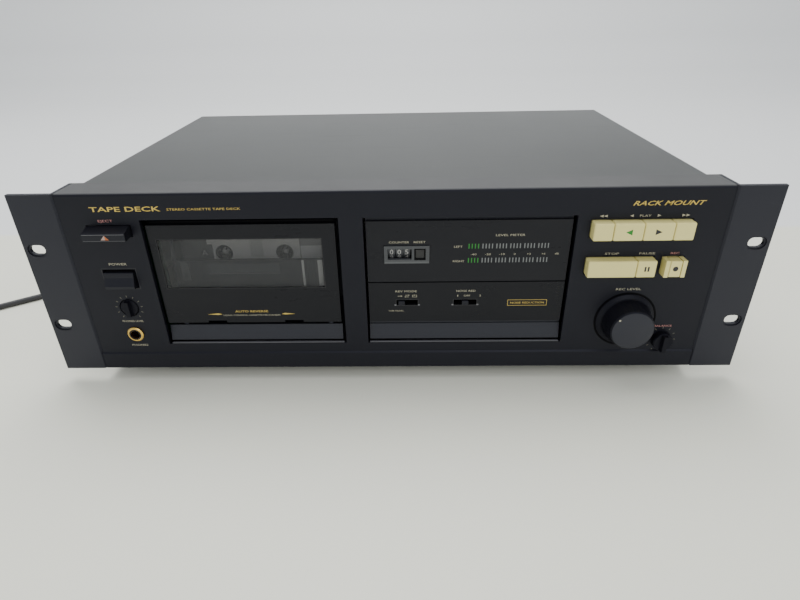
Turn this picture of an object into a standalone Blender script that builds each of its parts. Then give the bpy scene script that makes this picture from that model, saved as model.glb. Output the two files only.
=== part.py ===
"""A three-unit, 19-inch rack-width stereo cassette deck with a cassette in its bay.

Every length below is in millimetres, in the front panel's own terms: x to the viewer's right of the
panel's middle, depth behind the panel's front face, height above the panel's lower edge. placed() turns
them into metres, with the origin on the floor under the middle of the deck, +Z up and the front facing -Y.
"""

import math

import bmesh
import bpy
from mathutils import Matrix, Vector

MM = 0.001
GAP = 0.3  # kept between pieces that touch

# The rack panel and the case
PANEL_WIDTH = 482.6
PANEL_HEIGHT = 132.5
FOOT_DROP = 10.0  # the feet reach this far below the panel's lower edge
KNOB_REACH = 15.5  # the record-level knob, the piece that stands out furthest
CASE_DEPTH = 263.4
JACK_REACH = 9.1  # the rear sockets, past the case
PHONO_RADIUS = 4.15
PHONO_HOLE = 1.6
PHONES_BORE = 3.25  # takes a 6.35 mm plug
FASCIA_HALF = 211.2
FASCIA_WALL = 3.0
FASCIA_RETURN = 24.0
COVER_HALF = 206.35
COVER_TOP = 132.0
SHEET = 1.2
FLOOR_HEIGHT = 3.0
EAR_PROUD = 0.8
EAR_BACK = 2.4
SLOT_X = 232.55
SLOT_HEIGHTS = (37.675, 94.825)
SLOT_SIZE = (10.3, 6.8)

# Openings in the fascia: left, right, bottom, top
CASSETTE_BAY = (-160.5, -33.0, 20.5, 114.7)
DISPLAY_BAY = (-17.5, 118.0, 20.5, 114.5)
UPPER_KEYS = (126.4, 189.9, 98.8, 111.6)
LOWER_KEYS = (126.4, 171.2, 73.0, 85.9)
RECORD_KEYS = (175.4, 189.9, 73.0, 85.9)
EJECT_OPENING = (-195.9, -166.7, 103.3, 111.7)
POWER_OPENING = (-193.6, -171.6, 66.0, 80.0)
PANE_DEPTH = 3.0  # the smoked panes lie this far behind the fascia's face

# Round controls: x, height
PHONES_KNOB = (-182.5, 50.5)
PHONES_JACK = (-183.0, 29.2)
REC_KNOB = (159.7, 38.5)
BALANCE_KNOB = (187.5, 22.0)

# Door, tape and transport
HINGE = (9.5, 25.0)  # depth and height of the door's axis
TAPE_MIDDLE = -95.75
HUB_SPREAD = 21.25
HUB_HEIGHT = 82.0
CAPSTAN_SPREAD = 33.0
CAPSTAN_HEIGHT = 54.0
SHELL_HALF = 50.2
SHELL_BOTTOM = 47.5
SHELL_TOP = 111.3
ROLLER_HEIGHT = 39.5
FLYWHEEL_RADIUS = 29.0
PULLEY_RADIUS = 6.0
MOTOR_X = -64.75
MOTOR_HEIGHT = 100.0
BELT_THICKNESS = 0.6

# Keys and switches
KEY_REACH = 6.5
KEY_BACK = 9.0
SWITCH_HEIGHT = 51.3
SWITCH_SLOTS = ((3.0, 17.6), (42.3, 57.9))
SWITCH_KNOB_X = (6.5, 50.1)
DRUM_X = (0.3, 5.35, 10.4)
DRUM_AXIS = (13.2, 88.0)  # depth and height

# Mains lead
CORD_DIAMETER = 5.2
CORD_EXIT = (-165.0, 292.3, 30.0)
CORD_ROUTE = [
    CORD_EXIT,
    (-165.0, 303.0, 29.5),
    (-165.6, 314.0, 26.0),
    (-168.5, 324.0, 18.0),
    (-174.5, 331.5, 8.0),
    (-183.5, 335.5, 0.0),
    (-195.0, 335.0, -5.0),
    (-207.0, 328.0, -7.1),
    (-218.0, 315.0, -7.3),
    (-227.0, 296.0, -7.3),
    (-235.0, 272.0, -7.3),
    (-244.5, 243.0, -7.3),
    (-256.5, 212.0, -7.3),
    (-271.5, 184.0, -7.3),
    (-291.0, 162.0, -7.3),
    (-314.5, 143.5, -7.3),
    (-339.8, 124.9, -7.3),
    (-366.6, 105.2, -7.3),
    (-393.0, 85.8, -7.3),
]
COIL_CENTRE = (-388.8, 43.7)
COIL_RADII = (18.1, 39.3)
COIL_HEIGHT = 10.7
PLUG_END = (-390.4, -0.8)  # where the lead goes into the plug
PLUG_TURN = -30.0  # the way its pins point, from +X

FRONT_Y = KNOB_REACH - (KNOB_REACH + CASE_DEPTH + JACK_REACH) / 2
PLACE = Matrix.Scale(MM, 4) @ Matrix.Translation((0, FRONT_Y, FOOT_DROP))
AXES = {
    "x": (Vector((1, 0, 0)), Vector((0, 1, 0))),
    "y": (Vector((0, 1, 0)), Vector((0, 0, 1))),
    "z": (Vector((0, 0, 1)), Vector((1, 0, 0))),
}


# ---------------------------------------------------------------- shapes


def placed(x, depth, height):
    return PLACE @ Vector((x, depth, height))


def block(left, right, front, back, bottom, top):
    """A rectangular block."""
    mesh = bmesh.new()
    size = (right - left, back - front, top - bottom)
    middle = ((left + right) / 2, (front + back) / 2, (bottom + top) / 2)
    bmesh.ops.create_cube(mesh, size=1)
    mesh.transform(Matrix.Translation(middle) @ Matrix.Diagonal((*size, 1)))
    return mesh


def prism(outline, along, start, end):
    """An outline pushed along an axis. Its points are the other two coordinates, in x, depth, height order."""
    mesh = bmesh.new()
    index = "xyz".index(along)

    def point(pair, place):
        values = list(pair)
        values.insert(index, place)
        return mesh.verts.new(values)

    face = mesh.faces.new([point(pair, start) for pair in outline])
    pushed = bmesh.ops.extrude_face_region(mesh, geom=[face])
    moved = [v for v in pushed["geom"] if isinstance(v, bmesh.types.BMVert)]
    bmesh.ops.translate(mesh, vec=AXES[along][0] * (end - start), verts=moved)
    return mesh


def turned(profile, along, centre, steps=24, ring=False):
    """A profile of (radius, place along the axis) turned about that axis; a ring's profile closes on itself."""
    mesh = bmesh.new()
    axis, side = AXES[along]
    middle = Vector(centre)
    middle -= axis * middle.dot(axis)
    verts = [mesh.verts.new(middle + axis * place + side * radius) for radius, place in profile]
    pairs = list(zip(verts, verts[1:]))
    if ring:
        pairs.append((verts[-1], verts[0]))
    edges = [mesh.edges.new(pair) for pair in pairs]
    bmesh.ops.spin(
        mesh, geom=verts + edges, cent=middle, axis=axis, dvec=(0, 0, 0), angle=math.tau, steps=steps
    )
    bmesh.ops.remove_doubles(mesh, verts=mesh.verts, dist=1e-4)
    return mesh


def rod(radius, along, start, end, centre, steps=16):
    return turned([(0, start), (radius, start), (radius, end), (0, end)], along, centre, steps)


def stadium(centre_x, height, length, width, front, back, steps=6):
    """A slot-shaped block with round ends, pushed through in depth."""
    radius = width / 2
    reach = length / 2 - radius
    outline = []
    for end, first in ((1, -90), (-1, 90)):
        for i in range(steps + 1):
            turn = math.radians(first + 180 * i / steps)
            outline.append(
                (centre_x + end * reach + radius * math.cos(turn), height + radius * math.sin(turn))
            )
    return prism(outline, "y", front, back)


def together(meshes):
    """Several separate shapes in one mesh, for a cutter."""
    whole = bmesh.new()
    for mesh in meshes:
        holder = bpy.data.meshes.new("holder")
        bmesh.ops.recalc_face_normals(mesh, faces=mesh.faces)
        mesh.to_mesh(holder)
        whole.from_mesh(holder)
        bpy.data.meshes.remove(holder)
        mesh.free()
    return whole


# ---------------------------------------------------------------- objects


def finish(name, colour, roughness, metallic=0.0):
    """The named material, made once."""
    material = bpy.data.materials.get(name)
    if material is None:
        material = bpy.data.materials.new(name)
        material.use_nodes = True
        shader = material.node_tree.nodes["Principled BSDF"]
        shader.inputs["Base Color"].default_value = (*colour, 1)
        shader.inputs["Roughness"].default_value = roughness
        shader.inputs["Metallic"].default_value = metallic
        material.diffuse_color = (*colour, 1)
    return material


def fascia_black():
    return finish("fascia_black", (0.020, 0.020, 0.024), 0.45)


def ear_black():
    return finish("ear_black", (0.045, 0.044, 0.050), 0.5, 0.3)


def control_black():
    return finish("control_black", (0.018, 0.018, 0.020), 0.35)


def cover_paint():
    return finish("cover_paint", (0.05, 0.05, 0.055), 0.45, 0.4)


def plated_steel():
    return finish("plated_steel", (0.62, 0.62, 0.60), 0.35, 1.0)


def smoked_pane():
    return finish("smoked_pane", (0.03, 0.03, 0.033), 0.08)


def clear_pane():
    return finish("clear_pane", (0.35, 0.35, 0.37), 0.05)


def key_cream():
    return finish("key_cream", (0.68, 0.63, 0.45), 0.4)


def gold_plate():
    return finish("gold_plate", (0.75, 0.52, 0.16), 0.25, 1.0)


def board_green():
    return finish("board_green", (0.05, 0.16, 0.07), 0.5)


def rubber_black():
    return finish("rubber_black", (0.02, 0.02, 0.02), 0.8)


def shell_grey():
    return finish("shell_grey", (0.22, 0.22, 0.23), 0.4)


def white_plastic():
    return finish("white_plastic", (0.8, 0.8, 0.78), 0.4)


def cord_black():
    return finish("cord_black", (0.02, 0.02, 0.022), 0.5)


def part(name, mesh, material, origin=None, bevel=0.0, segments=2):
    """Makes the named object from a mesh in panel terms, with its origin where given."""
    bmesh.ops.recalc_face_normals(mesh, faces=mesh.faces)
    mesh.transform(PLACE)
    start = placed(*origin) if origin else Vector((0, 0, 0))
    mesh.transform(Matrix.Translation(-start))
    data = bpy.data.meshes.new(name)
    mesh.to_mesh(data)
    mesh.free()
    data.materials.append(material)
    data.shade_smooth()
    data.set_sharp_from_angle(angle=math.radians(30))
    made = bpy.data.objects.new(name, data)
    made.location = start
    bpy.context.scene.collection.objects.link(made)
    if bevel:
        edges = made.modifiers.new("edges", "BEVEL")
        edges.width = bevel * MM
        edges.segments = segments
        edges.limit_method = "ANGLE"
        edges.angle_limit = math.radians(40)
    return made


def combine(target, mesh, operation):
    """Adds a mesh to an object, or takes it away, with a hidden helper and a Boolean."""
    helper = part(f"{target.name}_{operation.lower()}_{len(target.modifiers)}", mesh, target.active_material)
    helper.hide_render = True
    helper.display_type = "WIRE"
    boolean = target.modifiers.new(operation.lower(), "BOOLEAN")
    boolean.operation = operation
    boolean.object = helper
    return target


def add(target, *meshes):
    for mesh in meshes:
        combine(target, mesh, "UNION")
    return target


def take(target, *meshes):
    return combine(target, together(meshes), "DIFFERENCE")


# ---------------------------------------------------------------- case


def through(opening, front=-3.0, back=8.0):
    left, right, bottom, top = opening
    return block(left, right, front, back, bottom, top)


def make_fascia():
    """The moulded front: a plate with returns, a proud lower band and a rounded upper edge."""
    round_top = 1.8
    outline = [(-1.0, 0.6), (-1.0, 12.4), (0.0, 13.6)]
    for i in range(5):
        turn = math.radians(180 - 90 * i / 4)
        outline.append(
            (round_top * (1 + math.cos(turn)), PANEL_HEIGHT - round_top * (1 - math.sin(turn)))
        )
    outline += [(FASCIA_RETURN, PANEL_HEIGHT), (FASCIA_RETURN, 0.0), (-0.4, 0.0)]
    inner = FASCIA_HALF - 2.5
    fascia = part("fascia", prism(outline, "x", -FASCIA_HALF, FASCIA_HALF), fascia_black())
    take(
        fascia,
        block(-inner, inner, FASCIA_WALL, FASCIA_RETURN + 1, 2.5, PANEL_HEIGHT - 2.5),
    )
    openings = (
        CASSETTE_BAY,
        DISPLAY_BAY,
        UPPER_KEYS,
        LOWER_KEYS,
        RECORD_KEYS,
        EJECT_OPENING,
        POWER_OPENING,
    )
    take(
        fascia,
        *[through(opening) for opening in openings],
        rod(6.8, "y", -2, 6, (PHONES_KNOB[0], 0, PHONES_KNOB[1]), 24),
        rod(4.7, "y", -2, 6, (PHONES_JACK[0], 0, PHONES_JACK[1]), 20),
        rod(4.5, "y", -2, 6, (REC_KNOB[0], 0, REC_KNOB[1]), 20),
        rod(3.6, "y", -2, 6, (BALANCE_KNOB[0], 0, BALANCE_KNOB[1]), 16),
    )
    return fascia


def make_ear(name, side):
    """A rack ear: a slotted front plate with a flange along the fascia's end."""
    inner = FASCIA_HALF + GAP
    outer = PANEL_WIDTH / 2
    outline = [
        (inner, 0.4),
        (inner + 1.2, -EAR_PROUD),
        (outer - 0.4, -EAR_PROUD),
        (outer, -EAR_PROUD + 0.4),
        (outer, EAR_BACK),
        (inner + 2.0, EAR_BACK),
        (inner + 2.0, FASCIA_RETURN),
        (inner, FASCIA_RETURN),
    ]
    ear = part(name, prism([(side * x, d) for x, d in outline], "z", 0, PANEL_HEIGHT), ear_black())
    length, width = SLOT_SIZE
    for height in SLOT_HEIGHTS:
        take(ear, stadium(side * SLOT_X, height, length, width, -2, 4))
        take(ear, stadium(side * SLOT_X, height, length + 2.4, width + 2.4, -2, 0.1))
    return ear


def make_top_cover():
    """The folded steel cover: a top and two sides."""
    bend = 2.0

    def shell(half, top, radius):
        points = [(-half, 4.5)]
        for middle, first in ((-1, 180), (1, 90)):
            for i in range(4):
                turn = math.radians(first - 90 * i / 3)
                points.append(
                    (middle * (half - radius) + radius * math.cos(turn), top - radius + radius * math.sin(turn))
                )
        return points + [(half, 4.5)]

    outline = shell(COVER_HALF, COVER_TOP, bend) + shell(COVER_HALF - 1, COVER_TOP - 1, bend - 1)[::-1]
    return part("top_cover", prism(outline, "y", FASCIA_RETURN + GAP, CASE_DEPTH), cover_paint())


def make_bottom_chassis():
    """The folded steel tray: floor, low sides and the full-height rear wall."""
    half = COVER_HALF - 1 - GAP
    low = FLOOR_HEIGHT
    outline = [
        (-half, low),
        (half, low),
        (half, 28),
        (half - SHEET, 28),
        (half - SHEET, low + SHEET),
        (-half + SHEET, low + SHEET),
        (-half + SHEET, 28),
        (-half, 28),
    ]
    back = CASE_DEPTH - 0.3
    chassis = part("bottom_chassis", prism(outline, "y", 4.5, back), plated_steel())
    add(chassis, block(-half, half, back - SHEET, back, low, COVER_TOP - 1 - GAP))
    vents = [block(-190 + 9 * i, -186 + 9 * i, 170, 230, low - 1, low + SHEET + 1) for i in range(7)]
    take(
        chassis,
        block(120, 176, back - 3, back + 3, 60, 90),
        rod(5.2, "y", back - 3, back + 3, (CORD_EXIT[0], 0, CORD_EXIT[2]), 20),
        *vents,
    )
    return chassis


def make_foot(name, x, depth):
    profile = [(0, -FOOT_DROP), (13, -FOOT_DROP), (14.5, -8.5), (16, 1.5), (15, 2.7), (0, 2.7)]
    return part(name, turned(profile, "z", (x, depth, 0), 24), rubber_black(), (x, depth, 2.7))


def make_rear_jacks():
    """The block of four phono sockets in the rear wall."""
    jacks = part("rear_jack_block", block(120.4, 175.6, 256, 264.6, 60.4, 89.6), control_black())
    places = [(x, height) for x in (134, 162) for height in (68, 82)]
    for x, height in places:
        add(jacks, rod(PHONO_RADIUS, "y", 264, CASE_DEPTH + JACK_REACH, (x, 0, height), 24))
    return take(jacks, *[rod(PHONO_HOLE, "y", 266, 280, (x, 0, height), 16) for x, height in places])


# ---------------------------------------------------------------- display bay


def slanted_bar():
    """Depth and height of the leaning bar that runs under both panes."""
    return [(2.5, 22.3), (4.8, 33.5), (6.2, 33.5), (6.2, 22.3)]


def make_display_frame():
    frame = part("display_frame", block(-16.2, 116.8, 5.5, 8.5, 22.3, 113.0), control_black())
    add(frame, prism(slanted_bar(), "x", -16.2, 116.8))
    take(
        frame,
        block(-5.2, 25.8, 5, 9, 80.4, 94.8),
        block(36, 112, 5, 9, 77, 104),
        *[block(left - 1, right + 1, 5, 9, 48, 54.6) for left, right in SWITCH_SLOTS],
    )
    return frame


def make_display_panes():
    upper = part("display_window", block(-15.8, 116.3, PANE_DEPTH, 5.2, 67.4, 110.9), smoked_pane())
    take(upper, block(-4.9, 25.6, 2, 7, 81.0, 94.1))
    lower = part("switch_panel", block(-15.8, 116.3, PANE_DEPTH, 5.2, 36.3, 66.6), smoked_pane())
    take(lower, *[block(left, right, 2, 7, 49.3, 53.3) for left, right in SWITCH_SLOTS])


def make_counter_housing():
    """Bezel, two cheeks and the drums' axle, moulded in one."""
    housing = part("counter_housing", block(-4.6, 25.3, 2.2, 5.4, 81.3, 93.8), shell_grey())
    depth, height = DRUM_AXIS
    take(housing, block(-2.2, 13.6, 1, 7, 84.2, 91.6), block(15.4, 22.8, 1, 7, 83.8, 91.8))
    add(
        housing,
        block(-4.2, -2.9, 5.0, 21, 81.6, 93.5),
        block(13.9, 15.1, 5.0, 21, 81.6, 93.5),
        rod(0.9, "x", -3.5, 14.5, (0, depth, height), 12),
    )
    return housing


def make_counter_drums():
    depth, height = DRUM_AXIS
    for name, x in zip(("hundreds", "tens", "units"), DRUM_X):
        profile = [(1.2, x - 2.3), (6.9, x - 2.3), (6.9, x + 2.3), (1.2, x + 2.3)]
        mesh = turned(profile, "x", (0, depth, height), 20, ring=True)
        part(f"counter_drum_{name}", mesh, control_black(), (x, depth, height))


def make_meter_board():
    board = part("meter_board", block(30, 115.5, 12.5, 14.1, 72, 110), board_green())
    return add(board, block(38, 110, 8.9, 13, 79, 102))


# ---------------------------------------------------------------- boards and power


def make_main_board():
    board = part("main_board", block(-20, 198, 60, 250, 14, 15.6), board_green())
    for left, front, size, top in ((10, 90, 24, 32), (60, 110, 16, 40), (100, 90, 30, 22), (40, 190, 40, 20)):
        add(board, block(left, left + size, front, front + size, 15, top))
    return board


def make_key_board():
    """Board behind the keys, with a tact switch behind each and the two level controls soldered on."""
    board = part("key_board", block(123, 203, 14.0, 15.6, 14, 118), board_green())
    for x, height in [(key[1] + key[2] / 2, 105) for key in UPPER_ROW] + [(142.5, 79.4), (164.3, 79.4)]:
        add(board, block(x - 3, x + 3, 11.2, 14.5, height - 3, height + 3))
    add(board, block(179.8, 185.6, 11.2, 14.5, 76.5, 82.5))
    for (x, height), radius in ((REC_KNOB, 12.0), (BALANCE_KNOB, 6.0)):
        add(board, rod(radius, "y", 6.2, 14.5, (x, 0, height), 20))
    return board


def make_phones_board():
    """Board behind the left controls, with the mains switch and the headphone level control on it."""
    board = part("phones_board", block(-203, -165, 30.0, 31.6, 12, 98), board_green())
    x, height = PHONES_KNOB
    return add(
        board,
        block(-190, -175, 18.0, 31, 65, 80),
        rod(7.5, "y", 12.0, 31, (x, 0, height), 20),
    )


def make_transformer():
    core = part("power_transformer", block(-195, -135, 175, 225, 4.5, 52), plated_steel())
    return add(core, block(-184, -146, 166, 234, 12, 44), block(-203, -127, 186, 214, 4.5, 6.5))


def make_phones_jack():
    """The headphone socket: gilt collar, threaded neck and body, with the plug's bore through them."""
    x, height = PHONES_JACK
    profile = [(0, -1.5), (5.0, -1.5), (5.7, -1.0), (5.7, -0.3), (4.3, -0.3), (4.3, 6), (0, 6)]
    jack = part("phones_jack", turned(profile, "y", (x, 0, height), 24), gold_plate())
    add(jack, block(x - 7, x + 7, 5.5, 29.5, height - 7, height + 7))
    return take(jack, rod(PHONES_BORE, "y", -3, 27, (x, 0, height), 32))


# ---------------------------------------------------------------- tape transport


def make_transport_plate():
    """The steel plate that carries the transport, with a foot flange and two tabs for the door's pivots."""
    outline = [(35, 4.5), (67, 4.5), (67, 6), (36.5, 6), (36.5, 118), (35, 118)]
    plate = part("transport_plate", prism(outline, "x", -158, -35), plated_steel())
    depth, height = HINGE
    nose = [(0, -3.0), (-2.6, -1.5), (-3.0, 0), (-2.6, 1.5), (0, 3.0)]
    tab = [(depth + d, height + h) for d, h in nose] + [(13, 29.5), (35.6, 40), (35.6, 30), (13, 22)]
    for left in (-152.6, -40.4):
        add(plate, prism(tab, "x", left, left + 1.5))
    take(
        plate,
        rod(1.9, "x", -156, -147, (0, depth, height), 16),
        rod(1.9, "x", -44, -36, (0, depth, height), 16),
        *[rod(2.5, "y", 33, 39, (TAPE_MIDDLE + s * HUB_SPREAD, 0, HUB_HEIGHT), 16) for s in (-1, 1)],
        *[rod(2.2, "y", 33, 39, (TAPE_MIDDLE + s * CAPSTAN_SPREAD, 0, CAPSTAN_HEIGHT), 16) for s in (-1, 1)],
    )
    return plate


def make_carrier():
    """The moulded cassette holder: two cheeks with pivots, a front band, two shelves and the leaning bar."""
    cheek = [
        (5.9, 22.8),
        (11.0, 22.8),
        (13.0, 40),
        (30.0, 44),
        (30.0, 111.5),
        (12.0, 111.5),
        (8.8, 84),
        (8.8, 58),
        (7.4, 36),
        (5.9, 33.3),
    ]
    depth, height = HINGE
    carrier = part("cassette_carrier", prism(cheek, "x", -149.0, -146.3), control_black(), (0, depth, height))
    add(
        carrier,
        prism(slanted_bar(), "x", -159.2, -35.6),
        prism(cheek, "x", -45.2, -42.5),
        block(-148, -43.5, 9.0, 11.6, 60, 81.8),
        block(-148, -138, 12.0, 31.0, 45.0, 47.1),
        block(-53.5, -43.5, 12.0, 31.0, 45.0, 47.1),
        rod(1.6, "x", -153.0, -148, (0, depth, height), 14),
        rod(1.6, "x", -43.5, -38.6, (0, depth, height), 14),
    )
    return carrier


def make_door():
    """The door's front plate, and the clear window in it."""
    depth, height = HINGE
    origin = (0, depth, height)
    panel = part("door_panel", block(-159.0, -36.0, PANE_DEPTH, 5.4, 36.3, 109.8), smoked_pane(), origin)
    take(
        panel,
        block(-153.9, -45.4, 2, 7, 63.8, 99.6),
        block(-130.3, -117.2, 2, 7, 35, 37.9),
        block(-75.9, -62.7, 2, 7, 35, 37.9),
    )
    part("door_window", block(-153.6, -45.7, 3.3, 5.1, 64.1, 99.3), clear_pane(), origin)


def make_cassette_shell():
    """A compact cassette, tape edge down: thin body, thick head end, hub holes and the openings below."""
    left = TAPE_MIDDLE - SHELL_HALF
    right = TAPE_MIDDLE + SHELL_HALF
    origin = (TAPE_MIDDLE, 25.35, HUB_HEIGHT)
    mesh = block(left, right, 21.0, 29.7, SHELL_BOTTOM, SHELL_TOP)
    shell = part("cassette_shell", mesh, shell_grey(), origin)
    head_end = [(-37, SHELL_BOTTOM), (37, SHELL_BOTTOM), (34, 64.5), (-34, 64.5)]
    add(shell, prism([(TAPE_MIDDLE + x, h) for x, h in head_end], "y", 19.35, 31.35))
    take(
        shell,
        *[rod(5.9, "y", 17, 34, (TAPE_MIDDLE + s * HUB_SPREAD, 0, HUB_HEIGHT), 24) for s in (-1, 1)],
    )
    take(shell, block(TAPE_MIDDLE - 12.5, TAPE_MIDDLE + 12.5, 20.6, 30.1, 40, 53.8))
    for side in (-1, 1):
        x = TAPE_MIDDLE + side * CAPSTAN_SPREAD
        take(shell, block(x - 7.3, x + 7.3, 22.2, 30.1, 40, 53.4))
        take(shell, rod(3.2, "y", 17, 34, (x, 0, CAPSTAN_HEIGHT), 16))
    return shell


def make_reel(side, name):
    """A reel table with its spindle, and the cassette hub that it turns."""
    centre = (TAPE_MIDDLE + side * HUB_SPREAD, 0, HUB_HEIGHT)
    spindle = [
        (0, 22.6),
        (1.2, 22.9),
        (2.6, 25.0),
        (2.6, 31.6),
        (8.6, 31.6),
        (9.0, 32.0),
        (9.0, 34.0),
        (2.1, 34.0),
        (2.1, 38.6),
        (0, 38.6),
    ]
    origin = (centre[0], 32, centre[2])
    part(f"reel_spindle_{name}", turned(spindle, "y", centre, 20), white_plastic(), origin)
    hub = [(4.5, 21.5), (5.5, 21.5), (5.5, 29.2), (4.5, 29.2)]
    mesh = turned(hub, "y", centre, 24, ring=True)
    part(f"cassette_hub_{name}", mesh, white_plastic(), (centre[0], 25.35, centre[2]))


def make_capstan(side, name):
    """A capstan shaft with its flywheel behind the plate. Its tip stops short, so the cassette can swing past."""
    centre = (TAPE_MIDDLE + side * CAPSTAN_SPREAD, 0, CAPSTAN_HEIGHT)
    profile = [
        (0, 29.0),
        (1.15, 29.3),
        (1.15, 39.6),
        (6.0, 40.0),
        (FLYWHEEL_RADIUS - 0.6, 40.4),
        (FLYWHEEL_RADIUS, 41.0),
        (FLYWHEEL_RADIUS, 47.6),
        (FLYWHEEL_RADIUS - 0.6, 48.2),
        (6.0, 48.2),
        (5.0, 50.0),
        (0, 50.0),
    ]
    mesh = turned(profile, "y", centre, 36)
    part(f"capstan_{name}", mesh, plated_steel(), (centre[0], 44, centre[2]))


def make_motor():
    centre = (MOTOR_X, 0, MOTOR_HEIGHT)
    can = [(0, 53), (16, 53), (17, 54), (17, 82), (16, 83), (0, 83)]
    part("capstan_motor", turned(can, "y", centre, 28), plated_steel(), (centre[0], 68, centre[2]))
    pulley = [
        (0, 41.0),
        (PULLEY_RADIUS, 41.0),
        (PULLEY_RADIUS, 46.0),
        (1.2, 46.4),
        (1.2, 52.7),
        (0, 52.7),
    ]
    part("motor_pulley", turned(pulley, "y", centre, 20), gold_plate(), (centre[0], 44, centre[2]))


def belt_line(offset):
    """The belt's outline, offset from its middle line: round the left flywheel, up past the right flywheel
    with its outer face on that one's rim, and over the motor pulley. A wheel outside the loop has a
    negative radius. A leg is the heading of the straight run that leaves a wheel."""
    rest = GAP + BELT_THICKNESS / 2
    wheels = [
        (Vector((TAPE_MIDDLE - CAPSTAN_SPREAD, CAPSTAN_HEIGHT)), FLYWHEEL_RADIUS + rest),
        (Vector((TAPE_MIDDLE + CAPSTAN_SPREAD, CAPSTAN_HEIGHT)), -FLYWHEEL_RADIUS - rest),
        (Vector((MOTOR_X, MOTOR_HEIGHT)), PULLEY_RADIUS + rest),
    ]
    legs = []
    for (start, first), (end, second) in zip(wheels, wheels[1:] + wheels[:1]):
        span = end - start
        legs.append(math.atan2(span.y, span.x) + math.asin((first - second) / span.length))
    points = []
    for i, (centre, radius) in enumerate(wheels):
        arriving = legs[i - 1]
        sweep = (legs[i] - arriving) % math.tau
        if radius < 0:
            sweep -= math.tau
        steps = max(2, round(abs(sweep) / math.radians(12)))
        for k in range(steps + 1):
            heading = arriving + sweep * k / steps
            reach = radius + offset
            points.append((centre.x + reach * math.sin(heading), centre.y - reach * math.cos(heading)))
    return points


def make_belt():
    half = BELT_THICKNESS / 2
    outer = prism(belt_line(half), "y", 42.2, 45.2)
    belt = part("drive_belt", outer, rubber_black())
    return take(belt, prism(belt_line(-half), "y", 41, 47))


def make_head_base():
    """The sliding plate with the tape head and the pinch rollers' pins on it."""
    mesh = block(-141, -50.5, 32.2, 33.7, 24, 44)
    base = part("head_base", mesh, plated_steel(), (TAPE_MIDDLE, 32.9, 34))
    add(
        base,
        block(TAPE_MIDDLE - 9, TAPE_MIDDLE + 9, 29.0, 32.8, 30, 41),
        block(TAPE_MIDDLE - 7, TAPE_MIDDLE + 7, 22.0, 29.4, 32, 46.4),
        *[rod(1.0, "y", 22.2, 32.8, (TAPE_MIDDLE + s * CAPSTAN_SPREAD, 0, ROLLER_HEIGHT), 12) for s in (-1, 1)],
    )
    for side, name in ((-1, "left"), (1, "right")):
        x = TAPE_MIDDLE + side * CAPSTAN_SPREAD
        profile = [(1.3, 23.0), (6.4, 23.0), (6.4, 29.5), (1.3, 29.5)]
        roller = turned(profile, "y", (x, 0, ROLLER_HEIGHT), 20, ring=True)
        part(f"pinch_roller_{name}", roller, rubber_black(), (x, 26.2, ROLLER_HEIGHT))


# ---------------------------------------------------------------- controls

KEY_ROW_BOTTOM = 99.3
KEY_ROW_TOP = 111.0
LOWER_ROW_BOTTOM = 73.6
LOWER_ROW_TOP = 85.3
UPPER_ROW = (
    ("key_rewind", 127.0, 12.2),
    ("key_play_reverse", 139.5, 18.4),
    ("key_play_forward", 158.2, 18.4),
    ("key_fast_forward", 176.9, 12.4),
)
LOWER_ROW = (("key_stop", 127.0, 31.0), ("key_pause", 158.3, 12.2))


def make_key(name, left, width, bottom, top, bevel=0.9):
    origin = (left + width / 2, 0, (bottom + top) / 2)
    mesh = block(left, left + width, -KEY_REACH, KEY_BACK, bottom, top)
    return part(name, mesh, key_cream(), origin, bevel, 3)


def make_keys():
    for name, left, width in UPPER_ROW:
        make_key(name, left, width, KEY_ROW_BOTTOM, KEY_ROW_TOP)
    for name, left, width in LOWER_ROW:
        make_key(name, left, width, LOWER_ROW_BOTTOM, LOWER_ROW_TOP)
    record = part(
        "key_record",
        block(179.0, 186.3, -KEY_REACH, 0.5, 73.8, 85.1),
        key_cream(),
        (182.6, 0, 79.4),
        0.5,
    )
    add(record, block(179.6, 185.7, 0.0, KEY_BACK, 75.8, 83.2))
    guard = part("rec_key_guard", block(176.0, 189.3, 2.4, 8.0, 73.6, 85.3), key_cream(), None, 0.3, 1)
    take(guard, block(179.2, 186.1, 1, 10, 75.3, 83.7))
    for left in (176.0, 186.7):
        add(guard, block(left, left + 2.6, -KEY_REACH, 8.0, 73.6, 85.3))


def make_buttons():
    left, right, bottom, top = EJECT_OPENING
    eject = [
        (-9.0, 104.0),
        (-9.0, 108.7),
        (-8.6, 109.1),
        (0.0, 111.2),
        (9.0, 111.2),
        (9.0, 104.0),
    ]
    mesh = prism(eject, "x", left + 0.7, right - 0.7)
    part("eject_button", mesh, control_black(), ((left + right) / 2, 0, 107.5))
    left, right, bottom, top = POWER_OPENING
    power = [
        (-4.0, 67.0),
        (-4.2, 69.0),
        (-2.3, 74.6),
        (-2.0, 77.6),
        (-1.5, 78.2),
        (13.5, 78.2),
        (13.5, 67.0),
    ]
    mesh = prism(power, "x", left + 1.0, right - 1.0)
    part("power_button", mesh, control_black(), ((left + right) / 2, 0, 73.0))
    reset = block(16.0, 22.2, 3.2, 19, 84.4, 91.2)
    part("counter_reset_button", reset, control_black(), (19.1, 3.2, 87.8), 0.3, 1)


def make_switch_knobs():
    names = ("reverse_mode_knob", "noise_reduction_knob")
    for name, x in zip(names, SWITCH_KNOB_X):
        mesh = block(x - 2.3, x + 2.3, 1.6, 11.5, SWITCH_HEIGHT - 1.6, SWITCH_HEIGHT + 1.6)
        part(name, mesh, control_black(), (x, 5, SWITCH_HEIGHT), 0.3, 1)


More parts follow.
